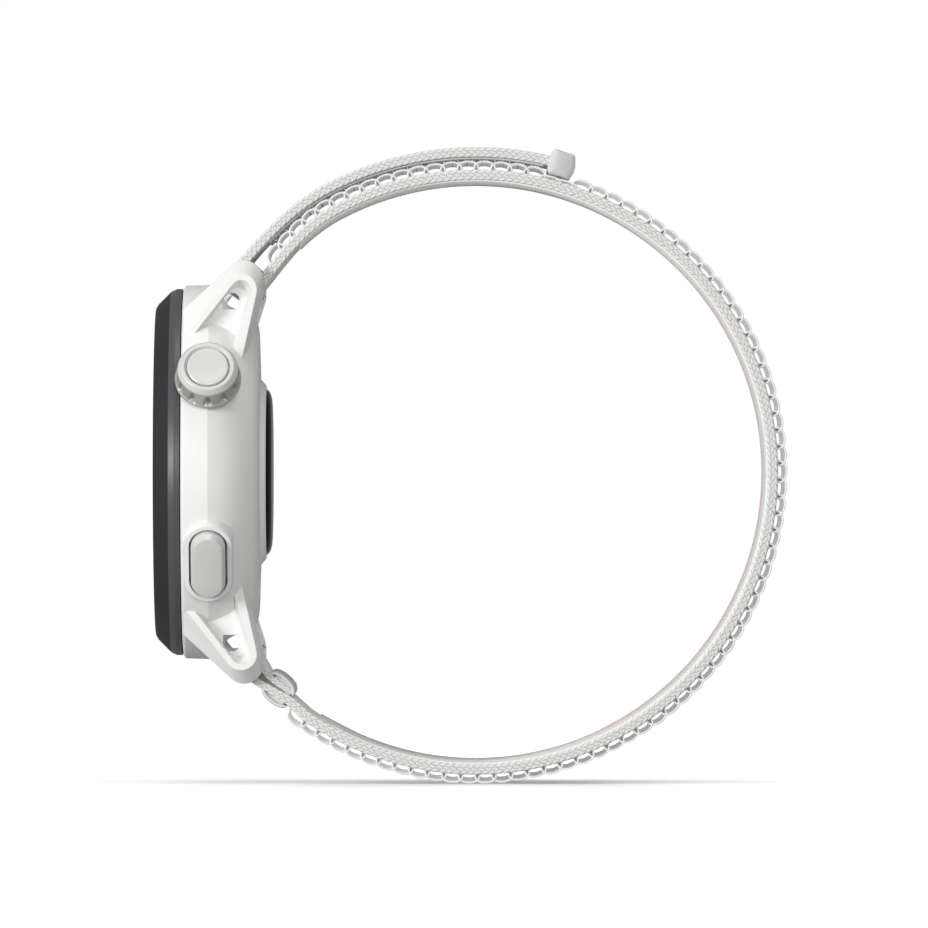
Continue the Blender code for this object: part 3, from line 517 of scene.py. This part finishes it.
# depth = 0.5 (1 - (angle / half width)^2)^0.6, and the half width closes as an ellipse
from_middle = np.degrees(np.linspace(0, 2 * np.pi, 360, endpoint=False))
from_middle = (from_middle + 15.0) % 30.0 - 15.0
height = knob_line[:, 0]
up = np.clip((height - FLUTE_FOOT) / FLUTE_RISE, 0, 1)
half_width = FLUTE_SPREAD * np.sqrt(np.maximum(1 - up ** 2, 1e-6))
inside = np.clip(1 - (from_middle[None] / half_width[:, None]) ** 2, 0, 1)
reached = (height > 21.9) & (height < 23.6) & (knob_line[:, 1] > 2.95)
depth = 0.5 * inside ** 0.6 * reached[:, None]
knob_grid = turned(knob_line, 360, HUB, CROWN_OUT, ACROSS)
spoke = knob_grid - (np.array(HUB) + height[:, None, None] * np.array(CROWN_OUT))
spoke /= np.maximum(np.linalg.norm(spoke, axis=2), 1e-6)[..., None]
silver = (0.34, 0.03, 0.001, 0.06, 0.04, 0.12)
silver_coat = moulded("silver_coat", (0.64, 0.64, 0.63), *silver)
silver_painted_shade = moulded("silver_painted_shade", (0.40, 0.40, 0.39), *silver)
knob_mesh = solid("knob", knob_grid - spoke * depth[..., None], wrap_rows=True)
knob = place("crown_ring", knob_mesh, silver_coat, "crown", 38.0)
# painted shade: below SIDE_TOP the knob takes a darker copy of the silver, for the shade on
# its fluted skirt
second_finish(knob, silver_painted_shade,
              lambda p: (p - np.array(HUB)) @ np.array(CROWN_OUT) < SIDE_TOP)
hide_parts("crown_knob")

disc_line = [(24.42, 0.0), (24.43, 1.0), (24.46, 1.8), (24.49, 2.1), (24.47, 2.22),
             (24.4, 2.28), (24.3, 2.3), (24.0, 2.3), (24.0, 0.0)]
disc = place("crown_disc", solid("disc", turned(disc_line, 128, HUB, CROWN_OUT, ACROSS)),
             silver_coat, "crown", 50.0)
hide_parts("crown_cap")


# ------------------------------------------------------------------ button
# A long moulded cap in the same silver coat, sliding in its slot in the shell. Its edge
# has a broad chamfer and its face is slightly crowned.

outlines, heights = [], []
for width, length, level in ((3.82, 8.05, 19.75), (3.82, 8.05, 21.56), (3.76, 7.99, 21.68),
                             (3.22, 7.44, 22.30), (3.12, 7.34, 22.37), (2.9, 7.1, 22.40),
                             (1.6, 5.6, 22.44), (0.3, 4.2, 22.46)):
    outlines.append(stadium(width, length, 40))
    heights.append(level)
cap_mesh = pillar(outlines, heights, HUB, BUTTON_OUT, ACROSS)
cap = place("button_face", cap_mesh, silver_coat, "back_button", 24.0)
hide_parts("button_cap")


# ------------------------------------------------------------------ braided strap
# One flat tube of braided nylon, 21.6 mm wide and 1.2 mm thick. Its tail folds back over
# the upper bar, its other end goes round the lower bar and back up inside the keeper. The
# edges show three columns of slanted yarns, laid in a herringbone.

BAR_REACH = float(np.hypot(*(CENTRE - UPPER)))  # from the ring's centre to a bar
BAR_ANGLE = math.degrees(math.atan2(21.2, -25.7))
WIDTH = 10.8  # half of the strap's width
PITCH = 0.09  # from one section of the strap to the next
BAND_R, TAIL_R = 33.06, 35.6  # middle of the band and of the tail over it
BAND_EASE, TAIL_EASE = 119.0, 117.0  # angles where these start towards the bar
WRAP_R = 1.5  # middle of the strap round the upper bar
TAIL_STEPS, FOLD_STEPS = 260, 24


def ease(t):
    """3t^2 - 2t^3 between 0 and 1."""
    t = np.clip(t, 0, 1)
    return t * t * (3 - 2 * t)


def band_radius(degrees):
    """BAND_R, easing in to pass the upper bar on its wrist side."""
    nearing = ease((degrees - BAND_EASE) / (BAR_ANGLE - BAND_EASE))
    return BAND_R + (BAR_REACH - WRAP_R - BAND_R) * nearing


def tail_radius(degrees):
    """TAIL_R, easing in to meet the upper bar on its outer side."""
    nearing = ease((degrees - TAIL_EASE) / (BAR_ANGLE - TAIL_EASE))
    return TAIL_R + (BAR_REACH + WRAP_R - TAIL_R) * nearing


def touch(centre, radius, point, turn):
    """Direction from a bar at which a line from the point touches its circle."""
    d = np.array(point) - centre
    return math.degrees(math.atan2(d[1], d[0])) + turn * math.degrees(
        math.acos(radius / np.hypot(*d)))


def step_lengths(route):
    """Length of each step along a path."""
    return np.linalg.norm(np.diff(route, axis=0), axis=1)


def read_off(stations, known, values):
    """Rows of values at known stations, read off between them at others."""
    return np.stack([np.interp(stations, known, column) for column in values.T], -1)


def smoothed(line, reach):
    """Each point becomes a mean of its neighbours up to the reach, weighed by a raised
    cosine. Past both ends the line goes on as its own reflection."""
    weight = np.hanning(2 * reach + 1)
    weight /= weight.sum()
    padded = np.pad(line, ((reach, reach), (0, 0)), "reflect", reflect_type="odd")
    return np.stack([np.convolve(column, weight, "valid") for column in padded.T], -1)


def directions(line):
    """Unit vector along a line at each of its points."""
    way = np.gradient(line, axis=-2)
    return way / np.linalg.norm(way, axis=-1, keepdims=True)


KEEPER = around(32.55, 228.0)  # middle of the keeper
LEAN = math.radians(238.0)  # its outward direction


def by_keeper(along, inward):
    """Point set off from the keeper's middle, along the strap and towards the wrist."""
    return KEEPER + along * np.array([-math.sin(LEAN), math.cos(LEAN)]) - inward * np.array(
        [math.cos(LEAN), math.sin(LEAN)])


# the strap's middle line: tail, fold and wrap round the upper bar, ring, lower bar, keeper
outer_layer = around(32.78, 231.0)
inner_layer = np.array([by_keeper(-1.9, 0.62), by_keeper(0.0, 0.46),
                        by_keeper(1.35, 0.44)])
arrive = touch(LOWER, 1.12, outer_layer, -1)
leave = touch(LOWER, 1.42, inner_layer[0], 1) - 360.0
share = np.linspace(0, 1, 40)
lower_turn = around(1.12 + 0.3 * share, arrive + (leave - arrive) * share, LOWER)
tail_angles = np.linspace(74.4, BAR_ANGLE, TAIL_STEPS)
fold_angles = np.linspace(BAR_ANGLE, BAR_ANGLE + 90, FOLD_STEPS)
wrap_angles = np.linspace(BAR_ANGLE + 90, BAR_ANGLE + 180, FOLD_STEPS)
round_angles = np.linspace(137.5, -124.5, 900)
stretches = [around(tail_radius(tail_angles), tail_angles),
             around(WRAP_R, fold_angles, UPPER)[1:], around(WRAP_R, wrap_angles, UPPER)[1:],
             around(band_radius(round_angles), round_angles), outer_layer[None],
             lower_turn, inner_layer]
halves = np.concatenate([np.full(sum(map(len, stretches[:4])), 0.59), [0.55],
                         0.32 + 0.23 * share, [0.38, 0.34, 0.30]])
halves[:TAIL_STEPS] = 0.55 + 0.04 * ease((tail_angles - 134) / 6)
route = np.concatenate(stretches)
run = np.insert(np.cumsum(step_lengths(route)), 0, 0)
root_at, fold_at = run[TAIL_STEPS - 1], run[TAIL_STEPS + FOLD_STEPS - 2]
strap_s = np.linspace(0, run[-1], int(run[-1] / PITCH) + 1)
strap_line = smoothed(read_off(strap_s, run, route), 4)
strap_half = np.interp(strap_s, run, halves)
strap_way = directions(strap_line)
strap_out = np.stack([-strap_way[:, 1], strap_way[:, 0]], -1)
YARN = 0.78  # from one yarn to the next along a column


def plait(s, across, width):
    """Height and seam, both 0 to 1, of a flat plait in three columns. In a column a yarn
    starts every YARN and slants 0.72 of that across, the other way from its neighbours.
    With p and q from -1 to 1 along and across a yarn, height = sqrt((1 - p^4) (1 - q^4)).
    The seam, used as painted shade in the gaps between yarns, fades over 0.09 from a yarn's
    ends and, at 0.40 of its strength, over 0.07 from the sides that meet another column."""
    column = np.clip(np.round(across / width), -1, 1)
    q = (across - column * width) / (0.5 * width)
    slant = 0.36 * q * np.where(column == 0, 1, -1)
    p = 2 * ((s / YARN + 0.5 * (column == 0) + slant) % 1.0) - 1
    height = np.sqrt((1 - np.abs(p) ** 4) * np.clip(1 - np.abs(q) ** 4, 0, 1))
    ends = 1 - np.clip(0.5 * YARN * (1 - np.abs(p)) / 0.09, 0, 1)
    sides = 1 - np.clip(0.5 * width * (1 - np.abs(q)) / 0.07, 0, 1)
    return height, np.maximum(ends, 0.40 * sides * (np.abs(across) < 1.45 * width))


# section: n from -1 to 1 through the strap, y across it; the edges are superellipses
EDGE = 0.36
sweep = np.radians(np.linspace(90, 270, 23))
edge_n = np.sign(np.sin(sweep)) * np.abs(np.sin(sweep)) ** 0.6
edge_y = np.abs(np.cos(sweep)) ** 0.6
flat_y = np.linspace(-1, 1, 7)[1:-1] * (WIDTH - EDGE)
section_n = np.concatenate([edge_n, -np.ones(5), edge_n[::-1], np.ones(5)])
section_y = np.concatenate([-(WIDTH - EDGE) - EDGE * edge_y, flat_y,
                            (WIDTH - EDGE) + EDGE * edge_y[::-1], flat_y[::-1]])
on_edge = np.concatenate([edge_y ** 0.6, np.zeros(5), edge_y[::-1] ** 0.6, np.zeros(5)])


def keep_on(mesh, name, values, kind="FLOAT", field="value"):
    """Keeps a value on each point of a mesh, and 0 on points past the last value."""
    kept = np.zeros((len(mesh.vertices), *values.shape[1:]), np.float32)
    kept[:len(values)] = values[:len(kept)]
    mesh.attributes.new(name, kind, "POINT").data.foreach_set(field, kept.ravel())


def lay_out(mesh, along, across, flatness):
    """Keeps on every point its run along the strap, its place across it, both in
    millimetres, and how flat the cloth is there; a weave follows these."""
    rows = np.stack(np.broadcast_arrays(along, across, flatness), -1).reshape(-1, 3)
    keep_on(mesh, "cloth", rows, "FLOAT_VECTOR", "vector")


def strap_length(name, first, last):
    """Closed length of strap between two runs: line + half * n * out for each section
    point (n, y), raised over the yarns of both edges."""
    keep = (strap_s >= first - PITCH / 2) & (strap_s <= last + PITCH / 2)
    s, half = strap_s[keep, None], strap_half[keep, None]
    line, out = strap_line[keep], strap_out[keep]
    yarns, shaded_seams = plait(s, half * section_n, 2 * half / 3)
    lift = on_edge * (0.11 * yarns - 0.08)
    n = section_n * (half + lift)
    y = section_y + np.sign(section_y) * lift
    mesh = solid(name, np.stack([line[:, :1] + n * out[:, :1], y,
                                 line[:, 1:] + n * out[:, 1:]], -1))
    # seam mask for the painted shade in the gaps between yarns
    keep_on(mesh, "seam_shade", (on_edge * shaded_seams).ravel())
    lay_out(mesh, s, y, 1 - on_edge)
    return mesh


def braided(name, colour, pitch=0.9, depth=0.07):
    """Nylon cloth: yarn seams darken to 0.22 of the colour by the groove attribute, as
    painted shade. On the broad faces two sets of rounded ribs, one pitch apart and turned 45
    degrees to both sides of the strap's run, cross by multiplying and raise the cloth by
    depth; where they are low, and on the rounded edges, the colour falls to 0.90, as painted
    shade."""
    made = surface(name, {"Roughness": 0.82, "Sheen Weight": 0.25,
                          "Sheen Roughness": 0.5})
    tree = made.node_tree
    shader = tree.nodes["Principled BSDF"]
    where = add_node(tree, "TexCoord")
    seam_shade, cloth = [add_node(tree, "Attribute") for _ in range(2)]
    seam_shade.attribute_name, cloth.attribute_name = "seam_shade", "cloth"
    ramp = add_node(tree, "ValToRGB")
    for stop, at, left in zip(ramp.color_ramp.elements, (0.10, 0.90), (1.0, 0.22)):
        stop.position = at
        stop.color = (*[c * left for c in colour], 1)
    crossed, on_face, both = [add_node(tree, "Math") for _ in range(3)]
    crossed.operation = on_face.operation = "MULTIPLY"
    both.operation = "MULTIPLY_ADD"
    both.inputs[1].default_value = 0.30
    for entry, angle in enumerate((45, -45)):
        turn = add_node(tree, "Mapping", {"Rotation": (0, 0, math.radians(angle))})
        rib = add_node(tree, "TexWave", {"Scale": math.pi / 10 / pitch})
        join(tree, (cloth, "Vector", turn, "Vector"), (turn, "Vector", rib, "Vector"),
             (rib, "Fac", crossed, entry))
    parts = add_node(tree, "SeparateXYZ")
    rib_shade = add_node(tree, "MapRange", {"To Min": 0.90, "To Max": 1.03})
    shade = add_node(tree, "VectorMath")
    shade.operation = "SCALE"
    fibre = add_node(tree, "TexNoise", {"Scale": 9000, "Detail": 2})
    raised = add_node(tree, "Bump", {"Distance": depth * MM, "Strength": 0.7})
    join(tree, (cloth, "Vector", parts, "Vector"), (crossed, "Value", on_face, 0),
         (parts, "Z", on_face, 1), (on_face, "Value", rib_shade, "Value"),
         (seam_shade, "Fac", ramp, "Fac"), (ramp, "Color", shade, "Vector"),
         (rib_shade, "Result", shade, "Scale"), (shade, "Vector", shader, "Base Color"),
         (where, "Object", fibre, "Vector"), (fibre, "Fac", both, 0),
         (on_face, "Value", both, 2), (both, "Value", raised, "Height"),
         (raised, "Normal", shader, "Normal"))
    return made


braid_pale = braided("braid_pale", (0.79, 0.795, 0.77))
half_way = 0.5 * (fold_at + strap_s[-1])
band, _, tail = [
    place(name, strap_length(name, first, last), braid_pale, body, 180.0)
    for name, first, last, body in (("braid_band_upper", fold_at, half_way, "case"),
                                    ("braid_band_lower", half_way, strap_s[-1], "case"),
                                    ("braid_tail", 0.0, root_at, "strap_tail"))]
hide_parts("strap_band")
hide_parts("strap_tail")
# a dark wedge closes the gap inside the lower wrap; its dark braid colour is painted shadow
toward_keeper = (KEEPER - LOWER) / np.linalg.norm(KEEPER - LOWER)
square = np.array([-toward_keeper[1], toward_keeper[0]])
shadow_wedge = soft_corners([LOWER + 0.9 * toward_keeper + 0.78 * square,
                        LOWER + 0.9 * toward_keeper - 0.78 * square,
                        by_keeper(0.6, 0.03), by_keeper(0.6, 0.16)], 0.05, 4)
place("painted_shadow_wedge", lofted("shadow_wedge", [(y, shadow_wedge) for y in (-10.5, -5.0, 5.0, 10.5)]),
      braided("braid_painted_shadow", (0.24, 0.24, 0.23)), "case", 30.0)
fold = place("braid_fold", strap_length("fold", root_at - PITCH, fold_at + PITCH),
             braid_pale, None, 180.0)
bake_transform(fold)


# ------------------------------------------------------------------ lining
# A smooth tight-woven strip bonded inside the braid, where it lies on the wrist, with a
# bound edge on both sides.

def ribbon(radii, degrees, y):
    """Grid of a strip laid round the ring: a row for each angle and a column for each
    point (radius, y) of its section."""
    return with_y(around(radii, degrees[None]), y).swapaxes(0, 1)


LINING_FROM, LINING_TO = 128.0, -122.5  # angles of its two ends
lining_angles = np.linspace(LINING_FROM, LINING_TO, 500)
thin_out = np.minimum(ease((LINING_FROM - lining_angles) / 6),
                      ease((lining_angles - LINING_TO) / 5))
lining_in = 0.05 + 0.07 * thin_out
lining_n = np.array([-0.1, -0.1, 0.7, 1.0, 1.0, 0.7])[:, None]
lining_y = np.array([10.4, -10.4, -10.4, -10.3, 10.3, 10.4])[:, None]
lining_r = band_radius(lining_angles) - 0.6 - lining_n * lining_in
lining_mesh = solid("lining", ribbon(lining_r, lining_angles, lining_y))
lay_out(lining_mesh, np.radians(LINING_FROM - lining_angles)[:, None] * 32.4, lining_y.T, 1)
lining_grey = braided("lining_grey", (0.84, 0.84, 0.83), 0.55, 0.03)
lining = place("strap_liner", lining_mesh, lining_grey, "case", 30.0)
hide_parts("strap_lining")

# a marker thread is sewn along the edge away from the crown
spokes = np.radians(np.arange(6) * 60.0)[:, None]
thread_r = band_radius(lining_angles) - 0.58 - lining_in + 0.13 * np.cos(spokes)
thread_mesh = solid("thread", ribbon(thread_r, lining_angles, 10.15 + 0.24 * np.sin(spokes)))
thread_rose = braided("thread_rose", (0.72, 0.42, 0.46))
thread = place("marker_thread", thread_mesh, thread_rose, "case", 180.0)


# ------------------------------------------------------------------ loop pile
# Rows of clear nylon filament knitted into the outside of the braid. Each filament makes
# an arch along the strap, and neighbouring rows share their feet, so that the arches cross
# low down. Under the end tab they are pressed flat.

ROWS, PER_ROW = 83, 62  # rows along the strap, loops in a row
FILAMENT = 0.11  # half diagonal of a filament
TALL, PRESSED = 0.99, 0.33  # height of a free loop and of one under the end tab
TAB_FROM, TAB_TO = 71.0, 77.8  # angles that the end tab covers
row_angle = np.linspace(134.0 - 1.6, -127.5 + 1.6, ROWS)
row_pitch = abs(row_angle[1] - row_angle[0])
arch = np.linspace(0, np.pi, 11)
rng = np.random.default_rng(7)


def square_tubes(name, line, high, wide):
    """Square tubes round lines of points: line + high * cos a * up + wide * sin a * side
    for a = 45, 135, 225 and 315 degrees, where side is Y and up = line's way x side."""
    side = np.array([0.0, 1.0, 0.0])
    up = np.cross(directions(line), side)
    a = np.radians([45.0, 135.0, 225.0, 315.0])
    tube = (line[..., None, :] + high * np.cos(a)[:, None] * up[..., None, :]
            + wide * np.sin(a)[:, None] * side)
    points = line.shape[-2]
    ends = [(3, 2, 1, 0), np.arange(4) + 4 * (points - 1)]
    one = np.concatenate([quads(points, 4, False, True), ends])
    first = np.arange(line[..., 0, 0].size)[:, None, None] * (4 * points)
    mesh = lay_mesh(name, tube.reshape(-1, 3), (first + one).reshape(-1, 4))
    mesh.flip_normals()
    return mesh


def filaments(rows):
    """Arches over some rows. For a from 0 to 180 degrees the angle round the ring is
    row + 0.64 pitch * cos a * (1 + 0.08 sin^2 a) and the height over the strap's middle
    is tall * (sin a)^0.72 + 0.52. The place across and the height wander a little."""
    angle = row_angle[rows][:, None, None]
    y = np.linspace(-10.35, 10.35, PER_ROW)[None, :, None]
    y = y + np.where(rows % 2, 0.07, -0.07)[:, None, None]
    y = y + rng.normal(0, 0.018, y.shape[:2])[..., None]
    tall = np.where((angle > TAB_FROM) & (angle < TAB_TO), PRESSED, TALL)
    tall = tall * (1 + rng.normal(0, 0.012, (len(rows), PER_ROW, 1)))
    along = angle + 0.64 * row_pitch * np.cos(arch) * (1 + 0.08 * np.sin(arch) ** 2)
    radius = band_radius(along) + (tall * np.sin(arch) ** 0.72 + 0.52)
    return square_tubes("loops", with_y(around(radius, along), y), 1.25 * FILAMENT, FILAMENT)


clear_pile_painted_glow = moulded("clear_pile_painted_glow", (0.60, 0.60, 0.60), 0.40, 0.3, 0.004, 0)
# painted light: the filament glows, standing in for light passing through the clear nylon
# into the shaded insides of the loops
glow(clear_pile_painted_glow, (1, 1, 1), 0.17)
for k, rows in enumerate(np.array_split(np.arange(ROWS), 3)):
    loops = place("loop_rows_%d" % (k + 1), filaments(rows), clear_pile_painted_glow, "case",
                  180.0)
    loops.visible_shadow = False
    if k == 0:
        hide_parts("loop_field")

# dark prisms fill the space between the feet of neighbouring rows, as painted shade under
# the crossing arches

foot_angle = (row_angle[1:] + row_angle[:-1])[:, None] / 2 + np.array([0.5, 0.0, -0.5])
foot_lift = np.array([0.50, 1.05, 0.50])
foot = around(band_radius(foot_angle) + foot_lift, foot_angle)
foot_points = np.stack([with_y(foot, y) for y in (-10.3, 10.3)], 1)
prism = [(0, 1, 4, 3), (1, 2, 5, 4), (2, 0, 3, 5), (0, 2, 1), (3, 4, 5)]
foot_cells = [[6 * k + corner for corner in face]
              for k in range(len(foot_angle)) for face in prism]
foot_mesh = bpy.data.meshes.new("feet")
foot_mesh.from_pydata(foot_points.reshape(-1, 3) * MM, [], foot_cells)
feet_painted_shade = moulded("feet_painted_shade", (0.20, 0.20, 0.20), 0.6, 0.1, 0.01, 0)
place("loop_feet", close_mesh(foot_mesh), feet_painted_shade, "case", 30.0)


# ------------------------------------------------------------------ hook strip
# A dark moulded tape sewn under the tail, with rows of small bent hooks that catch in the
# loop pile.

hook_angles = np.linspace(132.0, 77.6, 120)
strip_n = np.array([0.59, 0.59, 0.74, 0.79, 0.79, 0.74])[:, None]
strip_y = np.array([10.3, -10.3, -10.3, -10.2, 10.2, 10.3])[:, None]
strip_r = tail_radius(hook_angles) - strip_n
hook_dark = moulded("hook_dark", (0.50, 0.50, 0.50), 0.7, 0.15, 0.01, 0)
strip = place("hook_tape", solid("strip", ribbon(strip_r, hook_angles, strip_y)), hook_dark,
              "strap_tail", 30.0)
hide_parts("hook_patch")

hook_a, hook_y = np.meshgrid(np.linspace(131.0, 78.4, 40), np.linspace(-9.9, 9.9, 26),
                             indexing="ij")
# for b from 0 to 1 a hook rises by 0.34 sin(2.2 b) and turns back by half a degree * b^2
b = np.linspace(0, 1, 5)[None]
hook_back = hook_a.reshape(-1, 1) - 0.5 * b ** 2
hook_r = tail_radius(hook_back) - (0.77 + 0.34 * np.sin(b * 2.2))
hook_line = with_y(around(hook_r, hook_back), hook_y.reshape(-1, 1))
place("hook_rows", square_tubes("hooks", hook_line, 0.08, 0.08), hook_dark, "strap_tail",
      180.0)


# ------------------------------------------------------------------ end tab
# A satin grey end piece moulded over the tail's cut edge, to lift the strap by. It is a
# little wider than the strap and thins towards its lip.

TAB_HALF = 11.3  # half of the tab's width
tab_corners = np.array([(37.04, 76.1), (36.93, 72.5), (35.56, 71.8), (34.2, 72.4),
                        (34.2, 76.3), (34.69, 76.75), (36.5, 76.65)])
tab_outline = soft_corners(around(tab_corners[:, 0], tab_corners[:, 1]),
                           [0.35, 0.3, 0.5, 0.3, 0.3, 0.15, 0.15], 7)
tab_middle = tab_outline.mean(0)
# smaller outlines close the ends, after a rounding over a quarter circle
closing = [(0.0, f) for f in (0.02, 0.2, 0.4, 0.6, 0.75)]
closing += [(0.4 * (1 - math.cos(a)), 0.86 + 0.14 * math.sin(a))
            for a in np.radians(np.linspace(0, 90, 6)).tolist()]
tab_sections = [(inset - TAB_HALF, tab_middle + (tab_outline - tab_middle) * f)
                for inset, f in closing]
tab_sections += [(-y, o) for y, o in tab_sections[::-1]]
tab_mesh = lofted("tab", tab_sections)
# both ends are bowed along the tab's length, with a fine ridge at half height
spots = np.zeros(len(tab_mesh.vertices) * 3, np.float32)
tab_mesh.vertices.foreach_get("co", spots)
spots = spots.reshape(-1, 3)
place_in_tab = spots[:, [0, 2]] / MM - tab_middle
along_tab = place_in_tab @ np.array([0.962, -0.273])
height_tab = place_in_tab @ np.array([0.273, 0.962])
bulge = 0.16 * np.clip(along_tab + 0.9, 0, None) ** 1.7
bulge += 0.03 * (np.abs(height_tab) < 0.08)
at_side = np.clip((np.abs(spots[:, 1]) / MM - 10.6) / 0.6, 0, 1)
spots[:, 1] -= np.sign(spots[:, 1]) * bulge * at_side * MM
tab_mesh.vertices.foreach_set("co", spots.ravel())
tab_mesh.update()
tab_grey = moulded("tab_grey", (0.62, 0.63, 0.62), 0.38, 0.05, 0.003, 0)
tab = place("end_piece", tab_mesh, tab_grey, "strap_tail", 30.0)
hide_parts("end_tab")


# ------------------------------------------------------------------ keeper
# A flat ring of satin grey polymer that holds the strap's end to itself below the lower
# bar. Its side rails pass through slots in the braid, and its plates are bowed outwards.

KEEPER_HALF = 10.95  # half of the keeper's width


def keeper_plate(corners):
    """Bowed plate: a smooth line through (along, outward) corners, 0.4 thick and twice
    KEEPER_HALF wide, thinned at both ends and with rounded edges."""
    corners = np.array(corners)
    at = np.insert(np.cumsum(step_lengths(corners)), 0, 0)
    line = smoothed(read_off(np.linspace(0, at[-1], 40), at, corners), 6)
    way = directions(line)
    turn = np.radians(np.linspace(0, 360, 24, endpoint=False))
    thin = 0.20 * (1 - np.linspace(-1, 1, 40) ** 8) ** 0.5 + 0.01
    n = thin[:, None] * np.sign(np.sin(turn)) * np.abs(np.sin(turn)) ** 0.6
    y = KEEPER_HALF * np.sign(np.cos(turn)) * np.abs(np.cos(turn)) ** 0.03
    along = line[:, :1] - n * way[:, 1:]
    outward = line[:, 1:] + n * way[:, :1]
    return with_y(by_keeper(along[..., None], -outward[..., None]), y)


plates = [keeper_plate([(-1.85, -0.95), (-1.45, -1.28), (-0.5, -1.38), (0.44, -1.22),
                        (1.2, -0.88), (1.55, -0.4), (1.55, -0.1)]),
          keeper_plate([(-1.65, 0.95), (-1.2, 1.33), (-0.5, 1.55), (0.4, 1.6), (1.1, 1.48),
                        (1.65, 1.2)])]
rail = soft_corners([(-1.2, 9.35), (1.2, 9.35), (1.2, 10.45), (-1.2, 10.45)], 0.12)
rails = [np.stack([with_y(by_keeper(rail[:, :1], -n), side * rail[:, 1])
                   for n in (-1.2, 0.0, 1.4)]) for side in (-1, 1)]
first, *others = [solid("plate", grid) for grid in (plates[0], *rails, plates[1])]
keeper = place("keeper_loop", carve(first, others), tab_grey, "case", 40.0)
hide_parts("keeper_ring")


# ------------------------------------------------------------------ floor, light, camera
# The watch stands on its strap on white paper, in a wide soft light from above and from
# the dial side.

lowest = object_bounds()[0].z
floor_mesh = bpy.data.meshes.new("paper")
floor_mesh.from_pydata([(-0.45, -0.6, lowest), (0.5, -0.6, lowest),
                        (0.5, 0.3, lowest), (-0.45, 0.3, lowest)], [], [(0, 1, 2, 3)])
paper = stand("paper", floor_mesh)
floor_mesh.materials.append(surface("paper_white", {
    "Base Color": (0.95, 0.95, 0.95, 1), "Roughness": 0.9, "Specular IOR Level": 0.1}))

# the camera sees plain white; the pieces are lit by a dimmer one
world = bpy.data.worlds.new("studio")
bpy.context.scene.world = world
world.use_nodes = True
sky = world.node_tree
shown = sky.nodes["Background"]
fill_in(shown, {"Color": (1, 1, 1, 1), "Strength": 1.0})
filling = add_node(sky, "Background", {"Color": (1, 1, 1, 1), "Strength": 0.28})
seen = add_node(sky, "LightPath")
either = add_node(sky, "MixShader")
join(sky, (seen, "Is Camera Ray", either, "Fac"), (filling, "Background", either, 1),
     (shown, "Background", either, 2),
     (either, "Shader", sky.nodes["World Output"], "Surface"))


def softbox(name, place_at, aim, size, power):
    """Square soft light, in metres and watts, turned to face a point."""
    lamp = bpy.data.lights.new(name, "AREA")
    lamp.size = size
    lamp.energy = power
    box = stand(name, lamp)
    box.location = place_at
    box.rotation_mode = "QUATERNION"
    box.rotation_quaternion = (Vector(aim) - box.location).to_track_quat("-Z", "Y")
    return box


def light_only(lamps, name, pieces):
    """Ties lamps to a new collection of the pieces that they light."""
    lit = bpy.data.collections.new(name)
    for piece in pieces:
        lit.objects.link(piece)
    for lamp in lamps:
        lamp.light_linking.receiver_collection = lit
    return lit


near = [softbox("dial_light", (-0.640, -0.610, 0.120), (0, 0, 0), 0.30, 5.8),
        softbox("front_light", (0.10, -0.85, 0.15), (0.02, 0, 0), 0.3, 2.4),
        softbox("top_light", (0.0, -0.1, 0.6), (0.02, 0, 0), 0.3, 0.9)]
bounce = softbox("floor_bounce", (0.02, -0.25, -0.45), (0.02, 0, 0.03), 0.5, 0.9)
wash = [softbox("paper_light", (0.02, 0.0, 1.6), (0.02, 0, -0.03), 4.0, 60.0),
        softbox("back_light", (0.02, 1.5, 0.25), (0.02, 0, -0.03), 0.6, 14.0)]
light_only(wash, "paper_only", [paper])
light_only([bounce], "inner_face", [lining, thread])
not_paper = light_only(near, "not_paper", [paper])
not_paper.collection_objects[0].light_linking.link_state = "EXCLUDE"
paper.visible_shadow = paper.visible_diffuse = paper.visible_glossy = False

scene = bpy.context.scene
scene.view_settings.view_transform = "Standard"
lens = bpy.data.cameras.new("camera")
lens.sensor_width = 36
lens.lens = 519.6
lens.clip_start = 0.1
lens.clip_end = 20
camera = stand("camera", lens)
camera.location = (0.0214, -1.5, 0.0009)
camera.rotation_euler = (math.pi / 2, 0, 0)
scene.camera = camera
